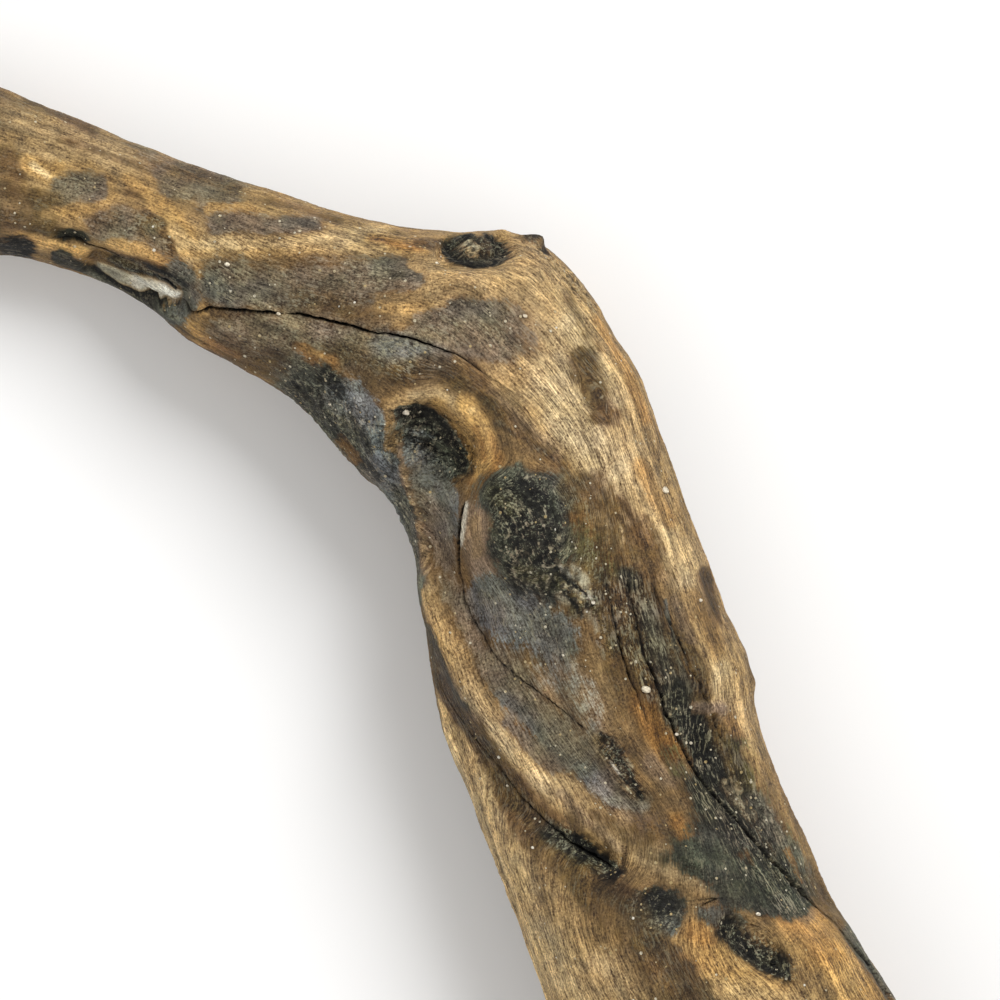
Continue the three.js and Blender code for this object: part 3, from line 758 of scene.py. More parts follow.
# The view: heights in metres of the camera and of the level where the grid is true to scale.
CAMERA_HEIGHT = 6.0
FOCUS_HEIGHT = 0.030
SENSOR = 36.0

# Lamps: size in metres, power in watts and position.
LAMPS = {"key": (0.9, 23.0, (0.75, 0.85, 1.4)), "fill": (2.2, 8.0, (-1.3, -0.7, 1.6))}
LAMP_AIM = Vector((0.02, -0.02, 0.03))
SKY_COLOUR = (1.0, 0.99, 0.97, 1)
SKY_STRENGTH = 0.6
FLOOR_SIZE = 6.0
FLOOR_COLOUR = (0.93, 0.93, 0.93, 1)

rng = np.random.default_rng(SEED)


def smooth(low, high, x):
    share = np.clip((x - low) / (high - low), 0.0, 1.0)
    return share * share * (3.0 - 2.0 * share)


# Gradient noise on a lattice that repeats every 256 cells, from about -1 to 1.
LATTICE = 256
LATTICE_ORDER = rng.permutation(LATTICE)
LATTICE_SLOPES = rng.normal(size=(LATTICE, 3))
LATTICE_SLOPES /= np.linalg.norm(LATTICE_SLOPES, axis=1)[:, None]
NOISE_GAIN = 1.6


def noise(points):
    cell = np.floor(points).astype(int)
    inside = points - cell
    fade = inside**3 * (inside * (inside * 6 - 15) + 10)
    total = np.zeros(points.shape[:-1])
    for corner in np.ndindex(2, 2, 2):
        at = cell + corner
        mixed = 0
        for axis in range(3):
            mixed = LATTICE_ORDER[(mixed + at[..., axis]) % LATTICE]
        value = np.einsum("...k,...k->...", LATTICE_SLOPES[mixed], inside - corner)
        total += np.prod(np.where(corner, fade, 1 - fade), axis=-1) * value
    return total * NOISE_GAIN


def layered_noise(points, octaves=3):
    total = np.zeros(points.shape[:-1])
    for octave in range(octaves):
        total += 0.5**octave * noise(points * 2.0**octave + 17.3 * octave)
    return total / sum(0.5**octave for octave in range(octaves))


def grain_noise(log, across, along, start, octaves=2):
    """Layered noise drawn out along the grain, with its size across and along in mm."""
    return layered_noise(log / np.array([across, across, along]) + start, octaves)


# The limb's curves: a Catmull-Rom spline through the sections, with the ends mirrored.
ENDED = np.vstack([2 * SECTIONS[0] - SECTIONS[1], SECTIONS, 2 * SECTIONS[-1] - SECTIONS[-2]])


def section_at(place):
    """The section's numbers at a place from 0 to SPANS."""
    place = np.clip(place, 0, SPANS)
    span = np.minimum(place.astype(int), SPANS - 1)
    t = (place - span)[..., None]
    p0, p1, p2, p3 = (ENDED[span + k] for k in range(4))
    m1, m2 = (p2 - p0) / 2, (p3 - p1) / 2
    return ((2 * t**3 - 3 * t**2 + 1) * p1 + (t**3 - 2 * t**2 + t) * m1
            + (3 * t**2 - 2 * t**3) * p2 + (t**3 - t**2) * m2)


def limb_frame(place):
    """Middle, unit vector to the outer side, half width, rise and drop at a place."""
    row = section_at(place)
    outer, inner = row[..., 0:2], row[..., 2:4]
    middle = np.concatenate([(outer + inner) / 2, row[..., 4:5]], -1)
    half = (outer - inner) / 2
    width = np.linalg.norm(half, axis=-1)
    return middle, half / width[..., None], width, row[..., 5], row[..., 6]


def distance_to_path(x, y, path):
    """Distance to a path in plan, and the place along it from 0 to its number of spans."""
    nearest = np.full(np.shape(x), np.inf)
    where = np.zeros(np.shape(x))
    for i, ((ax, ay), (bx, by)) in enumerate(zip(path[:-1], path[1:])):
        dx, dy = bx - ax, by - ay
        share = np.clip(((x - ax) * dx + (y - ay) * dy) / (dx * dx + dy * dy), 0, 1)
        distance = np.hypot(x - ax - share * dx, y - ay - share * dy)
        closer = distance < nearest
        nearest = np.where(closer, distance, nearest)
        where = np.where(closer, i + share, where)
    return nearest, where


def near_path(x, y, path, margin):
    """Where plan positions lie in the path's box, widened by a margin."""
    (left, low), (right, high) = np.min(path, axis=0) - margin, np.max(path, axis=0) + margin
    return (x > left) & (x < right) & (y > low) & (y < high)


def form_height(x, y, forms):
    height = np.zeros(np.shape(x))
    for _, width, rise, edge, path in forms:
        near = near_path(x, y, path, 3 * width)
        if near.any():
            distance, _ = distance_to_path(x[near], y[near], path)
            height[near] += rise * np.exp(-((distance / width) ** edge))
    return height


def swell_height(along, around):
    return sum(h * np.sin(turns * around + waves * 2 * np.pi * along + phase)
               for h, turns, waves, phase in SWELLS)


def tear_reach(along, around):
    wave = np.sin(2 * around + 0.6) + 0.7 * np.sin(5 * around + 2.0)
    at_end = 1 - smooth(0, TEAR_SPAN, np.minimum(along, 1 - along))
    return TEAR_DEPTH * at_end * wave


def surface(place, around, share=1.0, reach=0.0, extra=0.0):
    """Points of the skin and their outward directions. extra is relief added outward."""
    middle, side, width, rise, drop = limb_frame(place)
    c, s = np.cos(around), np.sin(around)
    tall = np.where(s > 0, rise, drop)
    flat = np.zeros(side.shape[:-1])
    side3 = np.concatenate([side, flat[..., None]], -1)
    ahead = np.stack([side[..., 1], -side[..., 0], flat], -1)
    along = place / SPANS
    base = (middle + side3 * (width * c * share)[..., None]
            + ahead * (reach + share * tear_reach(along, around))[..., None])
    base[..., 2] += tall * s * share
    outward = side3 * (c / width)[..., None]
    outward[..., 2] += s / tall
    outward /= np.linalg.norm(outward, axis=-1)[..., None]
    up, down = smooth(-0.15, 0.3, s), smooth(-0.15, 0.3, -s)
    swell = s * s * swell_height(along, around)
    point = base
    for _ in range(3):
        x, y = point[..., 0], point[..., 1]
        height = (swell + up * form_height(x, y, UPPER_FORMS + FINE_FORMS)
                  + down * form_height(x, y, LOWER_FORMS))
        point = base + outward * ((height + extra) * share)[..., None]
    return point, outward


def locate(x, y):
    """Place along the limb and angle round it of plan positions on the smooth upper side."""
    tried = np.linspace(0, SPANS, 40 * SPANS + 1)
    middle, side, width, _, _ = limb_frame(tried)
    dx, dy = x[:, None] - middle[None, :, 0], y[:, None] - middle[None, :, 1]
    ahead = np.abs(dx * side[:, 1] - dy * side[:, 0])
    best = np.argmin(ahead + 0.1 * np.hypot(dx, dy), axis=1)
    rows = np.arange(len(x))
    across = dx[rows, best] * side[best, 0] + dy[rows, best] * side[best, 1]
    return tried[best], np.arccos(np.clip(across / width[best], -0.999, 0.999))


def seat(path):
    """Place and angle whose carved surface lies under each plan position."""
    wanted = np.array(path)[:, :2]
    aim = wanted.copy()
    for _ in range(5):
        place, around = locate(aim[:, 0], aim[:, 1])
        point, _ = surface(place, around)
        aim += 0.8 * (wanted - point[:, :2])
    return place, around


def turned_away(angle):
    """An angle brought between half a turn back and half a turn on."""
    return np.angle(np.exp(1j * angle))


class Split:
    """A split laid into the mesh: its angle, opening and depth at each place along the limb."""

    def __init__(self, points):
        place, around = seat(points)
        order = np.argsort(place)
        self.place, self.around = place[order], around[order]
        self.opening, self.depth = np.array(points)[order, 2:].T

    def angle(self, place):
        return np.interp(place, self.place, self.around)

    def presence(self, place, run_in=0.5):
        return smooth(self.place[0] - run_in, self.place[0], place) * \
            (1 - smooth(self.place[-1], self.place[-1] + run_in, place))

    def half_opening(self, place):
        inside = (place > self.place[0]) & (place < self.place[-1])
        return np.where(inside, np.interp(place, self.place, self.opening) / 2, 0.0)

    def depth_at(self, place):
        return np.interp(place, self.place, self.depth)


splits = [Split(points) for _, points in SPLITS]


def run_length(track):
    """Length along a track at each of its points."""
    return np.concatenate([[0], np.cumsum(np.linalg.norm(np.diff(track, axis=0), axis=1))])


def row_places():
    """Places of the rows along the limb, spaced by the length of its outer half."""
    tried = np.linspace(0, SPANS, TRIED_PLACES)
    middle, side, width, _, _ = limb_frame(tried)
    steps = np.diff(run_length(middle[:, :2] + side * width[:, None] * 0.5))
    fine = (tried[1:] > FINE_SECTIONS[0]) & (tried[1:] < FINE_SECTIONS[1])
    count = np.concatenate([[0], np.cumsum(steps / np.where(fine, FINE_STEP, PLAIN_STEP))])
    return np.interp(np.linspace(0, count[-1], int(count[-1]) + 1), count, tried)


def column_angles(places):
    """Angles of the points of each row. The first point follows the two main splits."""
    first, second = splits[:2]
    knots = np.concatenate([[first.place[0] - 2.5], first.place, second.place, [SPANS]])
    angles = np.concatenate([first.around[:1], first.around, second.around, second.around[-1:]])
    start = np.interp(places, knots, angles)
    _, _, width, rise, drop = limb_frame(places)
    angle = start[:, None] + np.linspace(0, 2 * np.pi, TRIED_ANGLES)[None, :]
    c, s = np.cos(angle), np.sin(angle)
    tall = np.where(s > 0, rise[:, None], drop[:, None])
    length = np.hypot(width[:, None] * s, tall * c)
    density = length * (1 + (UPPER_SIDE_DENSITY - 1) * smooth(-0.35, 0.25, s))
    for split in splits:
        gap = turned_away(angle - split.angle(places)[:, None]) * length
        near = np.exp(-((gap / SPLIT_REACH) ** 2)) * split.presence(places)[:, None]
        density += length * SPLIT_DENSITY * near
    total = np.concatenate([np.zeros((len(places), 1)),
                            np.cumsum((density[:, 1:] + density[:, :-1]) / 2, axis=1)], axis=1)
    wanted = np.arange(POINTS_AROUND) / POINTS_AROUND
    return np.stack([np.interp(wanted * run[-1], run, row) for run, row in zip(total, angle)])


class Skin:
    """The grid of the limb's skin, with what the paint needs to know at each point."""

    def __init__(self):
        places = row_places()
        angles = column_angles(places)
        caps = np.sin(np.arange(1, CAP_ROWS) / CAP_ROWS * np.pi / 2)
        shares = [(1 - caps**square) ** (1 / square) for square in END_SQUARENESS]
        still = np.zeros(len(places))
        self.around = np.concatenate([np.repeat(angles[:1], CAP_ROWS - 1, 0), angles,
                                      np.repeat(angles[-1:], CAP_ROWS - 1, 0)])
        self.row_share = np.concatenate([shares[0][::-1], still + 1, shares[1]])
        self.share = self.spread(self.row_share)
        self.reach = self.spread(np.concatenate([-END_REACH[0] * caps[::-1], still,
                                                 END_REACH[1] * caps]))
        self.place = self.spread(np.concatenate([0 * caps, places, 0 * caps + SPANS]))
        _, _, width, rise, drop = limb_frame(self.place)
        self.sine = np.sin(self.around)
        tall = np.where(self.sine > 0, rise, drop)
        self.radius = (width + tall) / 2
        self.girth = np.hypot(width * self.sine, tall * np.cos(self.around))
        length = run_length(limb_frame(places)[0])
        self.length = np.interp(self.place, places, length) + self.reach
        self.points, _ = surface(self.place, self.around, self.share, self.reach)

    def spread(self, row_values):
        """A value for each row, given to all the row's points."""
        return np.broadcast_to(row_values[:, None], self.around.shape)

    def log(self, around):
        """Position in the limb straightened to a log, in mm: across, across, along."""
        radius = self.radius * self.share
        return np.stack([radius * np.cos(around), radius * np.sin(around), self.length], -1)


skin = Skin()


def side_distance(x, y, path):
    """Distance from a path in plan, positive on the right of its direction."""
    distance, where = distance_to_path(x, y, path)
    points = np.array(path)
    span = np.minimum(where.astype(int), len(path) - 2)
    ahead = points[span + 1] - points[span]
    away = np.stack([x, y], -1) - points[span]
    turn = away[..., 0] * ahead[..., 1] - away[..., 1] * ahead[..., 0]
    return np.sign(turn) * distance, where


def grain_flow():
    """Angle of the grain round the limb, bent round the knots and along the flow lines."""
    sideways = np.zeros(skin.around.shape)
    up = smooth(-0.2, 0.3, skin.sine)
    for _, left, right, path in FLOWS:
        _, around = seat(path)
        last = len(path) - 1
        away, where = side_distance(skin.points[..., 0], skin.points[..., 1], path)
        inside = smooth(0.0, 0.8, where) * (1 - smooth(last - 1.6, last, where))
        wanted = FLOW_ALIGNMENT * ((around[0] - skin.around) * skin.radius + away)
        wanted = FLOW_SLIP * np.tanh(wanted / FLOW_SLIP)
        reach = np.where(away > 0, right, left)
        sideways += up * inside * wanted * np.exp(-((away / reach) ** 2))
    for _, size, push, position in KNOTS:
        place, around = seat(position)
        ahead = skin.length - np.interp(place[0], skin.place[:, 0], skin.length[:, 0])
        across = turned_away(skin.around - around[0]) * skin.girth
        square = across**2 + (ahead * 0.8) ** 2
        bent = across * size**2 / np.maximum(square, (0.75 * size) ** 2)
        sideways -= push * up * bent * np.exp(-square / (3.2 * size) ** 2)
    return skin.around + sideways / skin.radius


def grid_place(x, y):
    return (x - GRID_LEFT) * GRID, (GRID_TOP - y) * GRID


class Canvas:
    """Plan positions of the skin, moved about so that the strokes' edges wander and feather."""

    def __init__(self, log):
        _, side, width, _, _ = limb_frame(skin.place)
        cosine = np.cos(skin.around)
        dip = np.arcsin(ROLL_OUT_SINE) - np.arcsin(np.minimum(skin.sine, ROLL_OUT_SINE))
        turned_in = width * (1 - np.abs(cosine)) * (skin.sine < ROLL_OUT_SINE)
        out = np.sign(cosine) * skin.share * (skin.radius * dip + turned_in)
        self.x, self.y = (skin.points[..., axis] + side[..., axis] * out for axis in (0, 1))
        ahead = np.gradient(skin.points[..., :2], axis=0)
        ahead /= np.maximum(np.linalg.norm(ahead, axis=-1, keepdims=True), 1e-6)
        self.shift = ahead * (FEATHER * grain_noise(log, 1.1, 12.0, 5.0))[..., None]
        for reach, size, start in WANDERS:
            for axis in (0, 1):
                at = skin.points / size + start + 40.0 * axis
                self.shift[..., axis] += reach * layered_noise(at, 2)

    def cover(self, width, path, spread):
        """Cover of a soft-edged stroke at every point of the skin. A narrow one wanders less."""
        path = [grid_place(*point) for point in path]
        width = width * GRID
        near = near_path(self.x, self.y, path, 2 * width + 4)
        cover = np.zeros(self.x.shape)
        if near.any():
            loose = np.clip(width / LOOSE_FROM, LEAST_LOOSE, 1.0)
            x, y = (axis[near] + self.shift[near, number] * loose
                    for number, axis in enumerate((self.x, self.y)))
            distance, _ = distance_to_path(x, y, path)
            cover[near] = 1 - smooth(width * (1 - spread), width * (1 + spread), distance)
        return cover


def to_linear(colour):
    return np.where(colour <= 0.04045, colour / 12.92, ((colour + 0.055) / 1.055) ** 2.4)


def tone(name):
    return np.array(TONES[name]) / 255.0


class Layers:
    """The wood's own colour, and the weathered layer over it with its cover."""

    def __init__(self, wood, weathered):
        shape = skin.around.shape
        self.wood = np.broadcast_to(tone(wood), shape + (3,)).copy()
        self.weathered = np.broadcast_to(tone(weathered), shape + (3,)).copy()
        self.cover = np.zeros(shape)

    def lay(self, name, amount):
        amount = np.clip(amount, 0, 1)
        if name in WOOD_TONES:
            self.wood += (tone(name) - self.wood) * amount[..., None]
            self.cover *= 1 - amount
        else:
            grown = self.cover + amount * (1 - self.cover)
            share = amount / np.maximum(grown, 1e-3)
            self.weathered += (tone(name) - self.weathered) * share[..., None]
            self.cover = grown


def unseen_layers(log):
    """Patches for the sides and the underside, like those of the upper side."""
    wave = grain_noise(log, 14.0, 50.0, 3.0, 3)
    spots, burns = (layered_noise(skin.points / size + start)
                    for size, start in ((13.0, 9.0), (17.0, 57.0)))
    warmth = layered_noise(skin.points / 22.0 + 31.0, 2)
    fields = {"wave": wave, "trough": -wave, "warmth": warmth, "coolness": -warmth,
              "spots": spots, "gaps": -spots, "burns": burns}
    layers = Layers("tan", "grey")
    for name, field, low, high, strength in UNSEEN_STAINS:
        layers.lay(name, smooth(low, high, fields[field]) * strength)
    return layers


def blended(share, unseen, seen):
    share = share[..., None] if np.ndim(seen) > share.ndim else share
    return unseen * (1 - share) + seen * share


def seen_share():
    """How far each point belongs to the side that the view shows, from 0 to 1."""
    ragged = skin.sine + 0.3 * layered_noise(skin.points / 7.0 + 44.0)
    left, low = grid_place(0, VIEW_SIZE)
    return (smooth(-0.5, -0.05, ragged) * skin.share * smooth(-8, 4, skin.points[..., 0] - left)
            * smooth(-10, 4, skin.points[..., 1] - low))


def build_paint(log):
    """The two layers' colours and the cover between them, and the finish, at every point."""
    canvas = Canvas(log)
    shown = seen_share()
    unseen, seen = unseen_layers(log), Layers("brown", "grey")
    for name, width, strength, path in STAINS:
        seen.lay(name, canvas.cover(width, path, STAIN_SPREAD) * strength)
    light = (1 + 0.22 * grain_noise(log, 2.6, 30.0, 83.0)
             + 0.22 * layered_noise(skin.points / 5.0 + 91.0))[..., None]
    wood = blended(shown, unseen.wood, seen.wood) * light
    weathered = blended(shown, unseen.weathered, seen.weathered) * light
    cover = blended(shown, unseen.cover, seen.cover)
    patches = 0.25 * layered_noise(skin.points / 4.0 + 19.0)
    cover = np.clip(cover + patches * smooth(0, 0.3, cover), 0, 1)
    finish = {kind: np.full(shown.shape, rest) for kind, rest in FINISH_AT_REST.items()}
    for kind, width, amount, path in FINISHES:
        finish[kind] = blended(canvas.cover(width, path, FINISH_SPREAD), finish[kind], amount)
    for kind, amount in UNSEEN_FINISH.items():
        finish[kind] = blended(shown, amount, finish[kind])
    return wood, weathered, cover, finish


def split_field():
    """Depth of the splits, and the distance to the nearest split's edge in mm."""
    depth = np.zeros(skin.around.shape)
    edge = np.full(skin.around.shape, 9.0)
    flat = 0 * skin.length
    steady = skin.length[:, 0] + 1e-6 * np.arange(len(skin.length))
    for number, split in enumerate(splits):
        slope = np.gradient(split.angle(skin.place[:, 0]), steady)
        lean = np.sqrt(1 + (slope[:, None] * skin.girth) ** 2)
        gap = turned_away(skin.around - split.angle(skin.place)) * skin.girth / lean
        jitter = noise(np.stack([skin.length / 1.7, flat + number * 7.7, flat], -1))
        chips = noise(np.stack([skin.length / 0.9, flat + number * 3.1, flat + 0.5], -1))
        half = split.half_opening(skin.place) * (1 + 0.35 * chips)
        gap = np.abs(gap + 0.22 * jitter)
        deep = split.depth_at(skin.place) * (1 - smooth(half * 0.55, half * 1.05 + 0.02, gap))
        depth = np.where(half > 0.02, np.maximum(depth, deep), depth)
        edge = np.where(half > 0.02, np.minimum(edge, gap - half), edge)
    return depth, edge


def butt_checks(edge):
    """How far the radial checks sink into the butt's end, and the distance to the nearest one."""
    radius = skin.radius * skin.share
    at_butt = (skin.reach > 0).astype(float)
    sunk = np.zeros(radius.shape)
    for direction, opening, depth in BUTT_CHECKS:
        wobble = noise(np.stack([radius / 5.0, radius * 0 + direction, radius * 0], -1))
        off = skin.around - np.radians(direction) + 0.12 * wobble
        away = np.abs(turned_away(off)) * radius
        half = opening / 2 * smooth(2.0, 26.0, radius)
        open_here = 1 - smooth(half * 0.5, half * 1.2 + 0.3, away)
        sunk = np.maximum(sunk, at_butt * depth * open_here)
        edge = np.where(at_butt > 0, np.minimum(edge, away - half), edge)
    return sunk, edge


def fine_relief(log, rough, mottle):
    """Relief finer than the forms, and how far each point lies above its surroundings."""
    at = skin.points
    flutes, fibres = grain_noise(log, 5.0, 50.0, 2.0), grain_noise(log, 1.7, 20.0, 11.0)
    lumps, pocks = layered_noise(at / 8.0 + 23.0, 2), layered_noise(at / 2.4 + 67.0, 2)
    billows = 1 - 2.6 * np.abs(noise(at / 1.9 + 41.0)) + 0.5 * noise(at / 1.0 + 3.0)
    fine = 0.32 * fibres + rough * 0.75 * (billows - 0.35) + mottle * 0.22 * pocks
    relief = 0.5 * flutes + 0.4 * lumps + fine
    for _, radius, height, (centre,) in EDGE_FORMS:
        distance = np.linalg.norm(at - np.array(centre), axis=-1)
        relief = relief + height * np.exp(-((distance / radius) ** 2))
    # This height also drives the painted shade in the low places and the painted highlight on the
    # high ones.
    cavity = np.clip(0.5 + 0.9 * fine + 0.35 * flutes, 0, 1)
    return relief * np.clip(skin.share * 4, 0, 1), cavity


def set_values(mesh, name, kind, values):
    field = {"FLOAT": "value", "FLOAT_COLOR": "color", "FLOAT_VECTOR": "vector"}[kind]
    mesh.attributes.new(name, kind, "POINT").data.foreach_set(field, np.ravel(values))


def set_tone(mesh, name, colours):
    linear = to_linear(np.clip(colours, 0, 1))
    set_values(mesh, name, "FLOAT_COLOR", np.concatenate([linear, np.ones((len(linear), 1))], 1))


def set_map(mesh, corners):
    mesh.uv_layers.new(name="OFBake").uv.foreach_set("vector", np.ravel(corners))


def smooth_mesh(name, vertices, faces):
    mesh = bpy.data.meshes.new(name)
    mesh.from_pydata((vertices * MM).tolist(), [], faces)
    mesh.polygons.foreach_set("use_smooth", np.ones(len(mesh.polygons), bool))
    return mesh


def with_tips(values):
    """Values at the skin's points in one list, and the mean of each end's row for its tip."""
    flat = values.reshape(values.shape[0], values.shape[1], -1)
    return np.concatenate([flat.reshape(-1, flat.shape[2]), flat[[0, -1]].mean(axis=1)])


def build_skin_mesh():
    log = skin.log(grain_flow())
    wood, weathered, cover, finish = build_paint(log)
    depth, edge = split_field()
    sunk, edge = butt_checks(edge)
    relief, cavity = fine_relief(log, finish["rough"], finish["mottle"])
    points, _ = surface(skin.place, skin.around, skin.share, skin.reach - sunk, relief - depth)
    points[..., 2] = np.maximum(points[..., 2], 0.0)
    rows, columns = points.shape[:2]
    grid = np.arange(rows * columns).reshape(rows, columns)
    right = np.roll(grid, -1, axis=1)
    quads = np.stack([grid[:-1], right[:-1], right[1:], grid[1:]], -1).reshape(-1, 4)
    first, last = (np.full(columns, rows * columns + tip) for tip in (0, 1))
    fans = np.concatenate([np.stack([first, right[0], grid[0]], -1),
                           np.stack([last, grid[-1], right[-1]], -1)])
    mesh = smooth_mesh("driftwood_skin", with_tips(points), quads.tolist() + fans.tolist())
    set_tone(mesh, "wood_tone", with_tips(wood))
    set_tone(mesh, "weathered_tone", with_tips(weathered))
    set_values(mesh, "grain", "FLOAT_VECTOR", with_tips(log))
    scalars = {"weathered_cover": cover, "cavity": cavity, **finish,
               "split_edge": np.minimum(edge, 3.0), "broken_end": 1 - skin.share**2}
    for name, values in scalars.items():
        set_values(mesh, name, "FLOAT", with_tips(values))
    set_map(mesh, rolled_out_corners(columns, quads, fans))
    return mesh


def rolled_out_corners(columns, quads, fans):
    """A map of the skin rolled out flat: length along one side and girth along the other."""
    steps = np.diff(run_length(skin.points.mean(axis=1)))
    steps = np.maximum(steps, np.abs(np.diff(skin.row_share)) * 20.0)
    run = np.concatenate([[0], np.cumsum(steps)]) + 2.0
    along = run / (run[-1] + 2.0)
    cut = columns // 2
    turned = (quads % columns + cut) % columns
    wraps = turned[:, :1] == columns - 1
    turned = np.where(wraps & (turned == 0), columns, turned)
    corners = [np.stack([along[quads // columns], turned / columns], -1).reshape(-1, 2)]
    for fan in fans:
        row, pair = fan[1] // columns, (fan[1:] % columns + cut) % columns
        pair = np.where((pair == 0) & (pair.max() == columns - 1), columns, pair) / columns
        tip = 0.0 if row == 0 else 1.0
        corners.append([(tip, pair.mean()), (along[row], pair[0]), (along[row], pair[1])])
    return np.concatenate(corners)


def build_pebbles():
    """The larger sand grains, as one mesh that wears the limb's material."""
    spots = [grid_place(*spot) for _, _, _, (spot,) in PEBBLES]
    centres, outward = surface(*seat(spots))
    bpy.ops.mesh.primitive_ico_sphere_add(subdivisions=2, radius=1.0)
    model = bpy.context.object
    shape = np.array([vertex.co[:] for vertex in model.data.vertices])
    faces = np.array([polygon.vertices[:] for polygon in model.data.polygons])
    bpy.data.objects.remove(model)
    vertices = []
    for centre, up, (_, radius, height, _) in zip(centres, outward, PEBBLES):
        lumpy = shape * (1 + 0.22 * noise(shape * 0.9 + centre)[:, None])
        side = np.cross(up, (0.3, 0.9, 0.1))
        side /= np.linalg.norm(side)
        axes = np.stack([side, 0.75 * np.cross(up, side), height * up])
        vertices.append(centre + lumpy @ axes * radius + up * radius * height * 0.45)
    polygons = np.concatenate([faces + len(shape) * number for number in range(len(PEBBLES))])
    mesh = smooth_mesh("stuck_sand_grains", np.concatenate(vertices), polygons.tolist())
    for name in ("wood_tone", "weathered_tone"):
        set_tone(mesh, name, np.tile(tone("sand grain"), (len(mesh.vertices), 1)))
    for name, value in (("cavity", 0.5), ("split_edge", 3.0)):
        set_values(mesh, name, "FLOAT", np.full(len(mesh.vertices), value))
    set_map(mesh, [shape[faces][:, :, :2] * 0.45 + 0.5] * len(PEBBLES))
    return mesh


def shade(name):
    return tuple(to_linear(tone(name))) + (1.0,)


class Nodes:
    """Short calls for building a material's node tree."""

    def __init__(self, material):
        self.tree = material.node_tree
        self.tree.nodes.clear()

    def add(self, kind, inputs=(), **settings):
        node = self.tree.nodes.new(kind)
        for name, value in settings.items():
            setattr(node, name, value)
        for name, value in dict(inputs).items():
            self.link(value, node.inputs[name])
        return node

    def link(self, source, target):
        if isinstance(source, (int, float, tuple)):
            target.default_value = source
        else:
            self.tree.links.new(source, target)

    def attribute(self, name, output="Fac"):
        return self.add("ShaderNodeAttribute", attribute_name=name).outputs[output]

    def math(self, operation, *values):
        node = self.add("ShaderNodeMath", operation=operation)
        for socket, value in zip(node.inputs, values):
            self.link(value, socket)
        return node.outputs[0]

    def times(self, a, b):
        return self.math("MULTIPLY", a, b)

    def greater(self, a, b):
        return self.math("MAXIMUM", a, b)

    def plus(self, base, value, amount):
        """A base with an amount of a value added."""
        return self.math("MULTIPLY_ADD", value, amount, base)

    def swung(self, base, *swings):
        """A base moved up and down by noises, each with its amount."""
        for noise, amount in swings:
            base = self.plus(base, self.math("SUBTRACT", noise, 0.5), amount)
        return base

    def between(self, a, b, share):
        return self.plus(a, self.math("SUBTRACT", b, a), share)

    def ramp(self, value, low, high, bottom=0.0, top=1.0, shape="SMOOTHSTEP"):
        inputs = {"Value": value, "From Min": low, "From Max": high,
                  "To Min": bottom, "To Max": top}
        node = self.add("ShaderNodeMapRange", inputs, interpolation_type=shape)
        return node.outputs["Result"]

    def thin_lines(self, noise, outer, inner):
        """1 along the lines where a noise passes its middle, fading from inner to outer."""
        away = self.math("ABSOLUTE", self.math("SUBTRACT", noise, 0.5))
        return self.ramp(away, outer, inner)

    def mix(self, amount, a, b, blend="MIX"):
        node = self.add("ShaderNodeMix", data_type="RGBA", blend_type=blend)
        for name, value in (("Factor", amount), ("A", a), ("B", b)):
            self.link(value, node.inputs[name])
        return node.outputs["Result"]

    def tinted(self, colour, factor, amount=1.0):
        return self.mix(amount, colour, factor, "MULTIPLY")

    def laid(self, colour, over, *amounts):
        """A colour laid over another by the product of some amounts."""
        cover = amounts[0]
        for amount in amounts[1:]:
            cover = self.times(cover, amount)
        return self.mix(cover, colour, over)

    def stretch(self, vector, scale):
        inputs = {"Vector": vector, "Scale": scale}
        return self.add("ShaderNodeMapping", inputs, vector_type="POINT").outputs["Vector"]

    def noise(self, vector, scale, detail, roughness, distortion=0.0):
        inputs = {"Vector": vector, "Scale": scale, "Detail": detail, "Roughness": roughness,
                  "Distortion": distortion}
        return self.add("ShaderNodeTexNoise", inputs, noise_dimensions="3D").outputs["Fac"]


